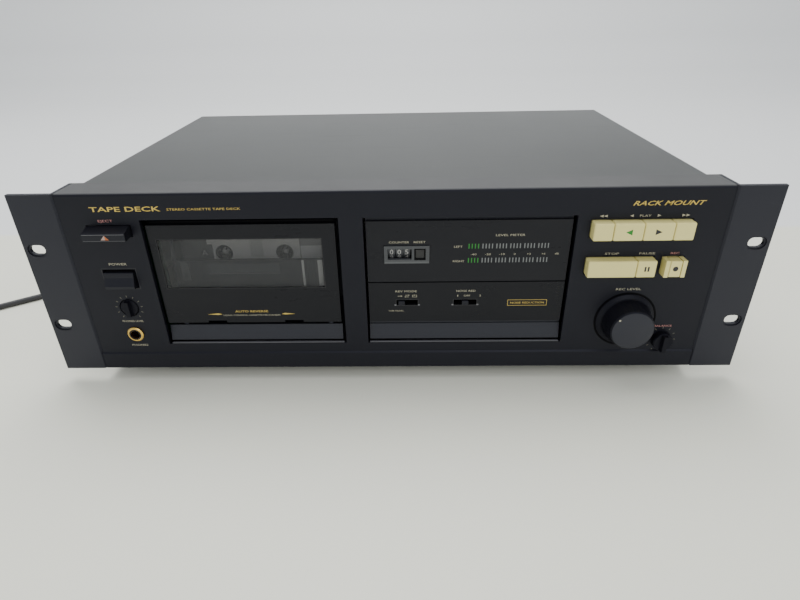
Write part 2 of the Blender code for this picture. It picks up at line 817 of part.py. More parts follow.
def make_grip_knob(name, place, radius, grip_face, face, base, back):
    """A small knob: a disc with a raised grip bar across it, on its shaft. The last four are depths."""
    x, height = place
    shaft = radius * 0.4
    profile = [
        (0, face),
        (radius - 0.5, face),
        (radius, face + 0.6),
        (radius, base),
        (shaft, base),
        (shaft, back),
        (0, back),
    ]
    knob = part(name, turned(profile, "y", (x, 0, height), 24), control_black(), (x, 0, height))
    grip = [(-1.9, face + 0.4), (-1.4, grip_face), (1.4, grip_face), (1.9, face + 0.4)]
    reach = radius * 0.92
    return add(knob, prism([(x + across, depth) for across, depth in grip], "z", height - reach, height + reach))


def make_rec_knob():
    """The record-level knob: flange, tapered body and flat face with a pointer dimple at its edge."""
    x, height = REC_KNOB
    profile = [
        (0, -KNOB_REACH),
        (13.6, -KNOB_REACH),
        (14.5, -KNOB_REACH + 0.9),
        (16.6, -3.0),
        (17.2, -2.2),
        (19.4, -0.6),
        (19.4, -0.3),
        (4.1, -0.3),
        (4.1, 5.9),
        (0, 5.9),
    ]
    knob = part("rec_level_knob", turned(profile, "y", (x, 0, height), 48), control_black(), (x, 0, height))
    turn = math.radians(140)
    dot = (x + 12.6 * math.cos(turn), 0, height + 12.6 * math.sin(turn))
    return take(knob, rod(1.1, "y", -KNOB_REACH - 1, -KNOB_REACH + 0.5, dot, 10))


# ---------------------------------------------------------------- mains lead


def smooth_points(route, spacing):
    """Points at an even spacing on a smooth curve through the route."""
    ends = [2 * Vector(route[0]) - Vector(route[1]), *map(Vector, route), 2 * Vector(route[-1]) - Vector(route[-2])]
    fine = []
    for a, b, c, d in zip(ends, ends[1:], ends[2:], ends[3:]):
        for k in range(20):
            t = k / 20
            fine.append(0.5 * (2 * b + (c - a) * t + (2 * a - 5 * b + 4 * c - d) * t**2 + (3 * b - a - 3 * c + d) * t**3))
    fine.append(ends[-2])
    points, run = [fine[0]], 0.0
    for previous, current in zip(fine, fine[1:]):
        run += (current - previous).length
        if run >= spacing:
            points.append(current)
            run = 0.0
    if run > spacing / 2:
        points.append(fine[-1])
    else:
        points[-1] = fine[-1]
    return points


def make_cord():
    curve = bpy.data.curves.new("cord_lead", "CURVE")
    curve.dimensions = "3D"
    curve.bevel_depth = CORD_DIAMETER / 2 * MM
    curve.bevel_resolution = 2
    curve.use_fill_caps = True
    spline = curve.splines.new("POLY")
    points = smooth_points(CORD_ROUTE, 2.5 * CORD_DIAMETER)
    spline.points.add(len(points) - 1)
    for point, place in zip(spline.points, points):
        point.co = (*placed(*place), 1)
    curve.materials.append(cord_black())
    bpy.context.scene.collection.objects.link(bpy.data.objects.new("cord_lead", curve))
    inner, outer = COIL_RADII
    low = -FOOT_DROP + 0.1
    high = low + COIL_HEIGHT
    profile = [
        (inner, low + 1.5),
        (inner + 1.5, low),
        (outer - 1.5, low),
        (outer, low + 1.5),
        (outer, high - 1.5),
        (outer - 1.5, high),
        (inner + 1.5, high),
        (inner, high - 1.5),
    ]
    centre = (*COIL_CENTRE, 0)
    part("cord_coil", turned(profile, "z", centre, 32, ring=True), cord_black(), (*COIL_CENTRE, low))


def make_strain_relief():
    x, _, height = CORD_EXIT
    profile = [
        (0, 258.5),
        (7.0, 258.5),
        (7.0, 261.2),
        (4.8, 261.2),
        (4.8, 263.6),
        (6.4, 263.6),
        (6.4, 266.0),
        (5.0, 267.0),
        (3.5, 292.0),
        (0, 292.0),
    ]
    part("cord_strain_relief", turned(profile, "y", (x, 0, height), 20), rubber_black(), (x, 262, height))


def make_plug():
    """A flat two-pin mains plug, lying on the floor beside the coil."""
    low = -FOOT_DROP + 0.1
    half = [(0, 3.5), (12, 6), (22, 13), (37, 17.6)]
    outline = half + [(along, -across) for along, across in reversed(half)]
    turn = Matrix.Translation((*PLUG_END, 0)) @ Matrix.Rotation(math.radians(PLUG_TURN), 4, "Z")
    mesh = prism(outline, "z", low, low + 13.7)
    mesh.transform(turn)
    plug = part("cord_plug", mesh, rubber_black(), (*PLUG_END, low), 1.5)
    for side in (-9.3, 9.3):
        pin = rod(2.0, "x", 35.5, 56, (0, side, low + 6.85), 12)
        pin.transform(turn)
        add(plug, pin)
    return plug


def make_moving_pieces():
    make_carrier()
    make_door()
    make_cassette_shell()
    for side, name in ((-1, "left"), (1, "right")):
        make_reel(side, name)
        make_capstan(side, name)
    make_head_base()
    make_counter_drums()
    make_keys()
    make_buttons()
    make_switch_knobs()
    make_grip_knob("phones_level_knob", PHONES_KNOB, 6.2, -3.6, -0.6, 2.4, 11.7)
    make_grip_knob("balance_knob", BALANCE_KNOB, 6.8, -8.0, -5.0, -0.4, 5.9)
    make_rec_knob()


def main():
    for stale in list(bpy.data.objects):
        bpy.data.objects.remove(stale)
    make_fascia()
    make_ear("ear_left", -1)
    make_ear("ear_right", 1)
    make_top_cover()
    make_bottom_chassis()
    for name, x, depth in (
        ("foot_front_left", -170, 45),
        ("foot_front_right", 170, 45),
        ("foot_rear_left", -170, 238),
        ("foot_rear_right", 170, 238),
    ):
        make_foot(name, x, depth)
    make_rear_jacks()
    make_display_frame()
    make_display_panes()
    make_counter_housing()
    make_meter_board()
    make_main_board()
    make_key_board()
    make_phones_board()
    make_transformer()
    make_phones_jack()
    make_transport_plate()
    make_motor()
    make_belt()
    make_moving_pieces()
    make_strain_relief()
    make_cord()
    make_plug()


main()
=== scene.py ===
"""The looks of a rack-mount stereo cassette deck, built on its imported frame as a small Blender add-on.

Lengths in the makers are millimetres in the front panel's own terms: x to the viewer's right of the panel's
middle, depth behind the panel's front face, height above its lower edge. PLACE turns them into the frame's
metres. Each operator makes one piece or one group of like pieces; main() runs them in order.
"""

import math

import bmesh
import bpy
from bpy.props import FloatProperty, FloatVectorProperty, IntProperty, PointerProperty, StringProperty
from mathutils import Matrix, Vector


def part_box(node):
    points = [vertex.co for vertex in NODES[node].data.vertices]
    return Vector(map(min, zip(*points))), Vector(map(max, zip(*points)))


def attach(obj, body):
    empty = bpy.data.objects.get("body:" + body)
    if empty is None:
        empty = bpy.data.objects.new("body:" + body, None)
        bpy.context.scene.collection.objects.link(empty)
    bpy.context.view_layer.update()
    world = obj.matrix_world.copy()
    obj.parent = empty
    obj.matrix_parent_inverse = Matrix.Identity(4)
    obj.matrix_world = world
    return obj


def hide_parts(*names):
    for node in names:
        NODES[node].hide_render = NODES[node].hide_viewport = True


bl_info = {
    "name": "Cassette Deck Finishes",
    "version": (1, 0, 0),
    "blender": (4, 5, 0),
    "location": "3D View > Sidebar > Deck",
    "description": "Gives a rack-mount cassette deck its finishes, print, trim, mains lead and stage",
    "category": "Object",
}

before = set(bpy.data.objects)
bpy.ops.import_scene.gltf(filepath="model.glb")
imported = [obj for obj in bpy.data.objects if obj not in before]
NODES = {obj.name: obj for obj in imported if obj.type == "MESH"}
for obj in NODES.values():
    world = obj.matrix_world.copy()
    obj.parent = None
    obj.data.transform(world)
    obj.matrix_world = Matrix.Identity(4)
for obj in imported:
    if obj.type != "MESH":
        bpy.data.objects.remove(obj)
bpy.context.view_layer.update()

MM = 0.001
PANEL_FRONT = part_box("fascia")[0].y / MM + 1.0  # the fascia's proud band reaches 1 mm past its face
FOOT_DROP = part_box("fascia")[0].z / MM
PLACE = Matrix.Scale(MM, 4) @ Matrix.Translation((0, PANEL_FRONT, FOOT_DROP))
FRONT = Matrix(((1, 0, 0, 0), (0, 0, -1, 0), (0, 1, 0, 0), (0, 0, 0, 1)))  # a flat drawing turned to the front
BACK = Matrix.Rotation(math.pi, 4, "Z") @ FRONT
COOL = (0.84, 0.87, 1.0, 1.0)  # the tint of the black plastics' gloss
PRINT = 0.03  # how far print stands off its surface
PANE = 3.0  # depth of the smoked panes' faces
CASSETTE_FACE = 21.0  # depth of the cassette's front
BEZEL_FACE = 2.2  # depth of the counter housing's front
CARRIER_FACE = 9.0  # depth of the carrier's front
EJECT_FACE = -9.0  # the eject bar stands this far out of the panel
KEY_FACE = -6.5  # and the keys this far
REAR_WALL = 263.1
JACK_FACE = 264.6
COVER_SIDE = 206.35  # from the middle to the cover's outside
HUB_HEIGHT = 82.0
HUBS = (("hub_left", -117.0), ("hub_right", -74.5))
LABEL = (-128.0, -63.6)  # the paper label's left and right edges
REC_KNOB = (159.7, 38.5)
BALANCE_KNOB = (187.5, 22.0)
PHONES_KNOB = (-182.5, 50.5)
PHONES_SOCKET = (-183.0, 29.2)
DUST = (0.45, 0.44, 0.42, 1)


# ---------------------------------------------------------------- shader maths


class Value:
    """A shader socket that can be used in sums: each operator adds a Math node."""

    def __init__(self, finish, socket):
        self.finish = finish
        self.socket = socket

    def _math(self, operation, first, second=0.0):
        return self.finish.node("ShaderNodeMath", {"operation": operation}, {0: first, 1: second})

    def __add__(self, other):
        return self._math("ADD", self, other)

    __radd__ = __add__

    def __sub__(self, other):
        return self._math("SUBTRACT", self, other)

    def __rsub__(self, other):
        return self._math("SUBTRACT", other, self)

    def __mul__(self, other):
        return self._math("MULTIPLY", self, other)

    __rmul__ = __mul__

    def above(self, edge):
        return self._math("GREATER_THAN", self, edge)

    def steep(self, low, high):
        """0 below low, 1 above high, and straight between them."""
        settings = {"clamp": True}
        values = {"Value": self, "From Min": low, "From Max": high}
        return self.finish.node("ShaderNodeMapRange", settings, values)


class Finish:
    """A material being written. Fixed numbers go straight on the shader's sockets."""

    def __init__(self, name, colour, roughness, **fixed):
        self.material = bpy.data.materials.new(name)
        self.material.use_nodes = True
        self.material.diffuse_color = (*colour, 1)
        self.tree = self.material.node_tree
        self.shader = self.tree.nodes["Principled BSDF"]
        self.colour = (*colour, 1)
        self.roughness = roughness
        self.fix("Base Color", self.colour)
        self.fix("Roughness", roughness)
        for label, value in fixed.items():
            self.fix(label.replace("_", " ").title().replace("Ior", "IOR"), value)
        self.place = self.node("ShaderNodeTexCoord", output="Object")

    def fix(self, label, value):
        self.shader.inputs[label].default_value = value

    def feed(self, label, value):
        self.tree.links.new(value.socket, self.shader.inputs[label])

    def node(self, kind, settings=None, values=None, output=0):
        """Adds a node: its settings first, then its sockets' values or links."""
        made = self.tree.nodes.new(kind)
        for label, value in (settings or {}).items():
            setattr(made, label, value)
        for label, value in (values or {}).items():
            if isinstance(value, Value):
                self.tree.links.new(value.socket, made.inputs[label])
            else:
                made.inputs[label].default_value = value
        return Value(self, made.outputs[output])

    def stretched(self, scale):
        """Object coordinates scaled along each axis, for grain that runs one way."""
        return self.node("ShaderNodeMapping", None, {"Vector": self.place, "Scale": scale})

    def noise(self, scale, detail=3.0, roughness=0.5, place=None):
        values = {"Vector": place or self.place, "Scale": scale, "Detail": detail, "Roughness": roughness}
        return self.node("ShaderNodeTexNoise", None, values, "Fac")

    def cells(self, scale, output="Distance"):
        return self.node("ShaderNodeTexVoronoi", None, {"Vector": self.place, "Scale": scale}, output)

    def blend(self, first, second, share):
        """A colour between two colours."""
        return self.node("ShaderNodeMix", {"data_type": "RGBA"}, {0: share, 6: first, 7: second}, 2)

    def shade(self, factor):
        """The finish's own colour, made lighter or darker."""
        return tuple(min(1.0, channel * factor) for channel in self.colour[:3]) + (1,)

    def tones(self, low, high, share):
        """Between a darker and a lighter shade of the finish's own colour."""
        return self.blend(self.shade(low), self.shade(high), share)

    def relief(self, height, strength, distance):
        values = {"Strength": strength, "Distance": distance, "Height": height}
        self.feed("Normal", self.node("ShaderNodeBump", None, values))

    def varied(self, colour, roughness, height=None, strength=0.0, distance=0.0):
        """Feeds the varied colour and roughness, and the relief where a height is given."""
        self.feed("Base Color", colour)
        self.feed("Roughness", roughness)
        if height is not None:
            self.relief(height, strength, distance)
        return self.material


def made_once(maker):
    """Runs a finish's maker the first time it is asked for, and gives the same material after that."""
    kept = {}

    def finish(*args):
        if args not in kept:
            kept[args] = maker(*args)
        return kept[args]

    return finish


def colours():
    return bpy.context.scene.deck_finishes


# ---------------------------------------------------------------- finishes


def moulded(name, colour, roughness, grain=0.12, dust=0.0, **fixed):
    """Moulded plastic: fine spark-eroded grain, cloudy gloss where hands have been, and a little dust."""
    finish = Finish(name, colour, roughness, **fixed)
    clouds = finish.noise(14, 4, 0.6)
    smears = finish.noise(55, 5, 0.65, finish.stretched((1.0, 1.0, 2.4)))
    grains = finish.noise(2600, 2)
    base = finish.tones(0.88, 1.14, clouds)
    if dust:
        specks = finish.noise(700, 2, 0.7).steep(0.66, 0.78) * clouds
        base = finish.blend(base, DUST, specks * dust)
    return finish.varied(base, roughness - 0.07 + smears * 0.09 + clouds * 0.05, grains, grain, 0.00008)


@made_once
def fascia_satin():
    """The moulded front, with faint dust specks and a lighter grey in clouds along its top."""
    finish = Finish("fascia_satin", colours().fascia, 0.44, Specular_Ior_Level=0.26, Specular_Tint=COOL)
    clouds = finish.noise(14, 4, 0.6)
    smears = finish.noise(55, 5, 0.65, finish.stretched((1.0, 1.0, 2.4)))
    specks = finish.noise(700, 2, 0.7).steep(0.66, 0.78) * clouds
    top = finish.node("ShaderNodeSeparateXYZ", None, {"Vector": finish.place}, "Z").steep(0.1418, 0.1424)
    base = finish.tones(0.85, 1.2, clouds)
    base = finish.blend(base, DUST, specks * 0.05)
    # the top of the fascia is made a lighter grey, in clouds
    base = finish.blend(base, (0.12, 0.12, 0.115, 1), top * (0.35 + clouds * 0.4))
    return finish.varied(base, 0.36 + smears * 0.09 + clouds * 0.05, finish.noise(2600, 2), 0.12, 0.00008)


@made_once
def control_black():
    gloss = {"Specular_Ior_Level": 0.30, "Specular_Tint": COOL}
    return moulded("control_black", (0.007, 0.007, 0.010), 0.36, 0.08, dust=0.04, **gloss)


@made_once
def knob_black():
    """Satin knobs with a slight shine worn on the grip."""
    finish = Finish("knob_black", (0.006, 0.006, 0.009), 0.42, Specular_Ior_Level=0.14, Specular_Tint=COOL)
    worn = finish.noise(90, 4, 0.6)
    turned = finish.noise(900, 2, 0.5, finish.stretched((1, 0.08, 1)))
    return finish.varied(finish.tones(0.8, 1.3, worn), 0.30 + worn * 0.18, turned, 0.12, 0.00006)


@made_once
def cap_satin():
    """The knob's end cap, spun; it is kept lighter and glossier than the knob's side as a painted highlight on
    the knob's face.
    """
    finish = Finish("cap_satin", (0.009, 0.009, 0.014), 0.40, Specular_Tint=COOL)
    worn = finish.noise(120, 4, 0.6)
    base = finish.tones(0.85, 1.2, worn)
    spun = finish.noise(1600, 2, 0.5, finish.stretched((1, 1, 0.15)))
    return finish.varied(base, 0.34 + worn * 0.12, spun, 0.06, 0.00005)


@made_once
def tray_black():
    return moulded("tray_black", (0.017, 0.0175, 0.022), 0.42, 0.0, Specular_Ior_Level=0.40, Specular_Tint=COOL)


@made_once
def ear_paint():
    """Baked paint over bent steel, with fine texture and lighter rubbed spots scattered over it."""
    finish = Finish("ear_paint", colours().ears, 0.44, Specular_Ior_Level=0.40, Specular_Tint=COOL)
    peel = finish.noise(1500, 3)
    clouds = finish.noise(11, 4, 0.6)
    rubs = finish.noise(120, 6, 0.7).steep(0.62, 0.80)
    base = finish.tones(0.90, 1.12, clouds)
    base = finish.blend(base, finish.shade(1.9), rubs * 0.35)
    return finish.varied(base, 0.40 + clouds * 0.10 - rubs * 0.08, peel, 0.14, 0.00010)


@made_once
def cover_paint():
    """Satin paint on the folded cover, with faint long scuffs and dust."""
    finish = Finish("cover_paint", colours().cover, 0.34, Specular_Ior_Level=0.20)
    peel = finish.noise(900, 3)
    clouds = finish.noise(6, 4, 0.55)
    scuffs = finish.noise(30, 6, 0.7, finish.stretched((0.35, 5.0, 1.0))).steep(0.60, 0.76)
    dust = finish.noise(1100, 2, 0.7).steep(0.68, 0.80)
    base = finish.tones(0.94, 1.08, clouds)
    base = finish.blend(base, finish.shade(1.5), scuffs * 0.20)
    base = finish.blend(base, (0.5, 0.5, 0.48, 1), dust * 0.12)
    return finish.varied(base, 0.29 + clouds * 0.08 + scuffs * 0.05, peel, 0.10, 0.00010)


@made_once
def zinc_plate():
    """Zinc-plated sheet with its blotchy spangle and drawn grain."""
    finish = Finish("zinc_plate", (0.56, 0.56, 0.55), 0.36, Metallic=1.0)
    spangle = finish.cells(160)
    grain = finish.noise(500, 3, 0.6, finish.stretched((0.06, 1.0, 1.0)))
    tarnish = finish.noise(18, 5, 0.6)
    base = finish.tones(0.80, 1.12, spangle * 0.5 + tarnish * 0.5)
    return finish.varied(base, 0.24 + tarnish * 0.20 + grain * 0.06, grain, 0.10, 0.00005)


@made_once
def turned_steel():
    """Machined steel with fine turning marks."""
    finish = Finish("turned_steel", (0.62, 0.61, 0.60), 0.24, Metallic=1.0)
    marks = finish.noise(1400, 2, 0.5, finish.stretched((1.0, 0.1, 1.0)))
    clouds = finish.noise(60, 4)
    return finish.varied(finish.tones(0.82, 1.1, clouds), 0.18 + clouds * 0.14, marks, 0.10, 0.00004)


@made_once
def gilt():
    """Gilt brass with a soft tarnish in patches."""
    finish = Finish("gilt", colours().gilt, 0.22, Metallic=1.0)
    tarnish = finish.noise(420, 4, 0.6)
    base = finish.tones(0.72, 1.1, tarnish)
    return finish.varied(base, 0.14 + tarnish * 0.18, finish.noise(2200, 2), 0.06, 0.00004)


@made_once
def nickel():
    finish = Finish("nickel", (0.66, 0.64, 0.60), 0.25, Metallic=1.0)
    tarnish = finish.noise(500, 4, 0.6)
    return finish.varied(finish.tones(0.75, 1.08, tarnish), 0.16 + tarnish * 0.2)


@made_once
def smoked(name, level):
    """A smoked acrylic pane with a thin gloss, wiping marks and a few fingerprints."""
    gloss = {"Coat_Roughness": 0.14, "Specular_Ior_Level": 0.18, "Specular_Tint": COOL}
    finish = Finish(name, (level, level, level * 1.25), 0.30, **gloss)
    wipes = finish.noise(40, 5, 0.6, finish.stretched((0.5, 1.0, 1.6)))
    prints = finish.noise(160, 3, 0.6).steep(0.60, 0.72)
    finish.feed("Base Color", finish.tones(0.92, 1.12, wipes))
    finish.feed("Roughness", 0.22 + wipes * 0.14 + prints * 0.05)
    finish.feed("Coat Weight", 0.06 + wipes * 0.10)
    finish.relief(finish.noise(1800, 2), 0.03, 0.00005)
    return finish.material


@made_once
def clear_smoke():
    """The clear window: a thin grey tint that shows what is behind it, with faint smears."""
    finish = Finish("clear_smoke", (0.042, 0.044, 0.048), 0.10, IOR=1.49)
    smears = finish.noise(48, 5, 0.62, finish.stretched((0.6, 1.0, 1.4)))
    finish.feed("Base Color", finish.tones(0.85, 1.25, smears))
    finish.feed("Roughness", 0.06 + smears * 0.08)
    finish.feed("Alpha", 0.33 + smears * 0.08)
    finish.material.surface_render_method = "BLENDED"
    return finish.material


@made_once
def key_cream():
    """Cream keys, a little yellowed, with grime where fingers have left it."""
    finish = Finish("key_cream", colours().keys, 0.38)
    clouds = finish.noise(70, 4, 0.55)
    grime = finish.noise(260, 5, 0.65).steep(0.60, 0.78)
    base = finish.tones(0.95, 1.04, clouds)
    base = finish.blend(base, (0.38, 0.32, 0.20, 1), grime * 0.16)
    return finish.varied(base, 0.34 + clouds * 0.10, finish.noise(2400, 2), 0.06, 0.00006)


@made_once
def ink(name, colour, metallic=0.0, glow=0.0, shine=0.4):
    """Screen print: slightly uneven, thin in places."""
    finish = Finish(name, colour, 0.42, Metallic=metallic, Specular_Ior_Level=shine)
    uneven = finish.noise(1700, 3, 0.6)
    finish.feed("Base Color", finish.tones(0.78, 1.15, uneven))
    finish.feed("Roughness", 0.34 + uneven * 0.16)
    if glow:
        finish.fix("Emission Strength", glow)
        finish.feed("Emission Color", finish.tones(0.8, 1.1, uneven))
    return finish.material


def gold_ink():
    return ink("gold_ink", tuple(colours().gold_print), 0.25)


def pale_ink():
    return ink("pale_ink", (0.44, 0.41, 0.30))


def pink_ink():
    return ink("pink_ink", tuple(colours().pink_print))


def tick_ink():
    return ink("tick_ink", (0.17, 0.16, 0.12))


def white_ink():
    return ink("white_ink", (0.60, 0.59, 0.56))


def dark_ink():
    return ink("dark_ink", (0.022, 0.022, 0.026))


# Near-black with almost no gloss: painted shade, put in gaps, recesses and slots where shadow falls.
def gap_black():
    return ink("gap_black", (0.002, 0.002, 0.003), 0.0, 0.0, 0.05)


def lit_green():
    return ink("lit_green", (0.015, 0.22, 0.02), 0.0, 0.06)


@made_once
def rubber():
    finish = Finish("rubber", (0.018, 0.018, 0.018), 0.78)
    clouds = finish.noise(80, 5, 0.65)
    dust = finish.noise(900, 3, 0.7).steep(0.60, 0.78)
    base = finish.tones(0.8, 1.5, clouds)
    base = finish.blend(base, (0.34, 0.33, 0.31, 1), dust * 0.14)
    return finish.varied(base, 0.68 + clouds * 0.18, finish.noise(1800, 3), 0.25, 0.00010)


@made_once
def lead_sheath():
    """Soft vinyl, with a dull bloom and lint from lying on tables."""
    finish = Finish("lead_sheath", (0.016, 0.016, 0.018), 0.42)
    bloom = finish.noise(60, 5, 0.6)
    lint = finish.noise(1300, 2, 0.75).steep(0.70, 0.80)
    base = finish.tones(0.8, 1.6, bloom)
    base = finish.blend(base, (0.40, 0.40, 0.38, 1), lint * 0.15)
    return finish.varied(base, 0.34 + bloom * 0.20, finish.noise(700, 3), 0.12, 0.00010)


@made_once
def board_green():
    """A lacquered board: lighter copper under the mask in irregular islands."""
    finish = Finish("board_green", (0.010, 0.050, 0.024), 0.44, Specular_Ior_Level=0.3)
    islands = finish.cells(140, "Color")
    tracks = finish.noise(240, 2, 0.4, finish.stretched((1.0, 1.0, 0.2))).above(0.52)
    base = finish.tones(0.7, 1.6, tracks)
    base = finish.blend(base, finish.shade(1.2), islands * 0.3)
    return finish.varied(base, 0.32 + tracks * 0.12, tracks, 0.10, 0.00005)


@made_once
def shell_grey():
    """The cassette's shell: pale grey styrene with a mould sheen and scratches."""
    finish = Finish("shell_grey", colours().cassette, 0.34)
    clouds = finish.noise(30, 4)
    scratches = finish.noise(260, 6, 0.75, finish.stretched((0.2, 1.0, 3.0))).steep(0.62, 0.72)
    base = finish.tones(0.92, 1.08, clouds)
    base = finish.blend(base, finish.shade(1.35), scratches * 0.3)
    return finish.varied(base, 0.28 + clouds * 0.12 + scratches * 0.10, finish.noise(1500, 2), 0.06, 0.00005)


@made_once
def label_paper():
    finish = Finish("label_paper", (0.84, 0.84, 0.82), 0.62)
    fibres = finish.noise(900, 5, 0.7)
    stain = finish.noise(45, 4, 0.6)
    base = finish.tones(0.90, 1.04, fibres)
    base = finish.blend(base, (0.62, 0.58, 0.48, 1), stain * 0.18)
    return finish.varied(base, 0.55 + fibres * 0.15, fibres, 0.12, 0.00004)


@made_once
def bezel_grey():
    return moulded("bezel_grey", (0.044, 0.047, 0.053), 0.40, 0.08, dust=0.05)


@made_once
def hub_grey():
    return moulded("hub_grey", (0.010, 0.010, 0.012), 0.42, 0.05)


@made_once
def spindle_white():
    return moulded("spindle_white", (0.64, 0.64, 0.62), 0.36, 0.06)


@made_once
def signal_plastic(name, colour):
    return moulded(name, colour, 0.40, 0.08)


@made_once
def winding_lacquer():
    """The transformer's taped windings and lacquered core."""
    finish = Finish("winding_lacquer", (0.30, 0.24, 0.12), 0.45, Metallic=0.3)
    layers = finish.noise(420, 3, 0.5, finish.stretched((0.1, 0.1, 1.0)))
    return finish.varied(finish.tones(0.6, 1.3, layers), 0.38 + layers * 0.2, layers, 0.2, 0.00015)


# ---------------------------------------------------------------- shapes


def block(left, right, front, back, bottom, top, bevel=0.0):
    """A rectangular block, its edges broken by a bevel where one is given."""
    mesh = bmesh.new()
    size = (right - left, back - front, top - bottom)
    middle = ((left + right) / 2, (front + back) / 2, (bottom + top) / 2)
    bmesh.ops.create_cube(mesh, size=1)
    mesh.transform(Matrix.Translation(middle) @ Matrix.Diagonal((*size, 1)))
    if bevel:
        bmesh.ops.bevel(mesh, geom=mesh.edges[:], offset=bevel, segments=2, affect="EDGES", profile=0.6)
    return mesh


def lathe(profile, centre, steps=24, ring=False):
    """A profile of (radius, depth) turned about an axis that runs through the centre along the depth."""
    mesh = bmesh.new()
    middle = Vector((centre[0], 0, centre[1]))
    verts = [mesh.verts.new(middle + Vector((radius, depth, 0))) for radius, depth in profile]
    pairs = list(zip(verts, verts[1:]))
    if ring:
        pairs.append((verts[-1], verts[0]))
    edges = [mesh.edges.new(pair) for pair in pairs]
    bmesh.ops.spin(
        mesh, geom=verts + edges, cent=middle, axis=(0, 1, 0), dvec=(0, 0, 0), angle=math.tau, steps=steps
    )
    bmesh.ops.remove_doubles(mesh, verts=mesh.verts, dist=1e-4)
    return mesh


def flat(points, depth):
    """A flat face towards the front. Its points are (x, height), anticlockwise as the viewer sees them."""
    mesh = bmesh.new()
    mesh.faces.new([mesh.verts.new((x, depth, height)) for x, height in points])
    return mesh


def bar(left, right, bottom, top, depth):
    return flat([(left, bottom), (right, bottom), (right, top), (left, top)], depth)


def circle(centre, radius, depth, steps):
    """Points round a circle that faces the front."""
    turns = [math.tau * i / steps for i in range(steps)]
    return [(centre[0] + radius * math.cos(a), depth, centre[1] + radius * math.sin(a)) for a in turns]


def washer(centre, inner, outer, depth, steps=40):
    """A flat ring towards the front."""
    mesh = bmesh.new()
    radii = (inner, outer)
    circles = [[mesh.verts.new(point) for point in circle(centre, radius, depth, steps)] for radius in radii]
    for i in range(steps):
        j = (i + 1) % steps
        mesh.faces.new([circles[0][i], circles[1][i], circles[1][j], circles[0][j]])
    return mesh


def outline_frame(left, right, bottom, top, line, depth):
    """A flat rectangular line."""
    return merged(
        [
            bar(left, right, top - line, top, depth),
            bar(left, right, bottom, bottom + line, depth),
            bar(left, left + line, bottom + line, top - line, depth),
            bar(right - line, right, bottom + line, top - line, depth),
        ]
    )


def arrow(middle, length, height, way, depth):
    """A solid triangle that points to the right (way 1) or the left (way -1)."""
    x, h = middle
    tail, tip = x - way * length / 2, x + way * length / 2
    points = [(tail, h - height / 2), (tip, h), (tail, h + height / 2)]
    return flat(points if way > 0 else points[::-1], depth)


def merged(meshes):
    whole = bmesh.new()
    for mesh in meshes:
        holder = bpy.data.meshes.new("holder")
        mesh.to_mesh(holder)
        whole.from_mesh(holder)
        bpy.data.meshes.remove(holder)
        mesh.free()
    return whole


def from_data(data):
    mesh = bmesh.new()
    mesh.from_mesh(data)
    bpy.data.meshes.remove(data)
    return mesh


def letters(text, cap, left, right, height, depth, shear=0.0, weight=0.0, turn=FRONT):
    """Flat lettering between two x values, centred on a height, with capitals of the given height."""
    curve = bpy.data.curves.new("letters", "FONT")
    curve.body = text
    curve.size = cap / 0.73
    curve.shear = shear
    curve.offset = weight
    curve.resolution_u = 2
    holder = bpy.data.objects.new("letters", curve)
    bpy.context.scene.collection.objects.link(holder)
    bpy.context.view_layer.update()
    evaluated = holder.evaluated_get(bpy.context.evaluated_depsgraph_get())
    mesh = from_data(bpy.data.meshes.new_from_object(evaluated))
    bpy.data.objects.remove(holder)
    bpy.data.curves.remove(curve)
    xs = [vert.co.x for vert in mesh.verts]
    width = max(xs) - min(xs)
    stretch = (right - left) / width
    centred = Matrix.Translation((-min(xs) - width / 2, -cap / 2, 0))
    mesh.transform(Matrix.Diagonal((stretch, 1, 1, 1)) @ centred)
    mesh.transform(Matrix.Translation(((left + right) / 2, depth, height)) @ turn)
    return mesh


# ---------------------------------------------------------------- pieces


def piece(name, mesh, finish, body, closed=True, smooth=35):
    """Makes a shown object from a mesh in panel terms and puts it on its body."""
    if closed:
        bmesh.ops.recalc_face_normals(mesh, faces=mesh.faces)
    mesh.transform(PLACE)
    data = bpy.data.meshes.new(name)
    mesh.to_mesh(data)
    mesh.free()
    data.materials.clear()
    data.materials.append(finish)
    data.shade_smooth()
    data.set_sharp_from_angle(angle=math.radians(smooth))
    made = bpy.data.objects.new(name, data)
    bpy.context.scene.collection.objects.link(made)
    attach(made, body)
    return made


def printed(name, shapes, finish, body="deck"):
    """Flat print, from one mesh or a list of them; its faces keep the side they were drawn on."""
    mesh = merged(shapes) if isinstance(shapes, list) else shapes
    return piece(name, mesh, finish, body, closed=False)


def dress(finish, *names):
    """Gives CAD nodes a finish."""
    for name in names:
        data = NODES[name].data
        data.materials.clear()
        data.materials.append(finish)
        for polygon in data.polygons:
            polygon.material_index = 0


# ---------------------------------------------------------------- copies along rows, rings and points


def wire(tree, kind, settings=None, values=None):
    """Adds a geometry node with its settings, and its sockets' values or links."""
    made = tree.nodes.new(kind)
    for label, value in (settings or {}).items():
        setattr(made, label, value)
    for label, value in (values or {}).items():
        if isinstance(value, bpy.types.NodeSocket):
            tree.links.new(value, made.inputs[label])
        else:
            made.inputs[label].default_value = value
    return made


def start_tree(name, sockets):
    """A tree with named inputs. Each socket is (label, kind, default)."""
    tree = bpy.data.node_groups.new(name, "GeometryNodeTree")
    tree.interface.new_socket("Geometry", in_out="INPUT", socket_type="NodeSocketGeometry")
    tree.interface.new_socket("Geometry", in_out="OUTPUT", socket_type="NodeSocketGeometry")
    shared = (("Piece", "NodeSocketObject", None), ("Finish", "NodeSocketMaterial", None))
    for label, kind, default in shared + sockets:
        socket = tree.interface.new_socket(label, in_out="INPUT", socket_type=kind)
        if default is not None:
            socket.default_value = default
    return tree, wire(tree, "NodeGroupInput").outputs


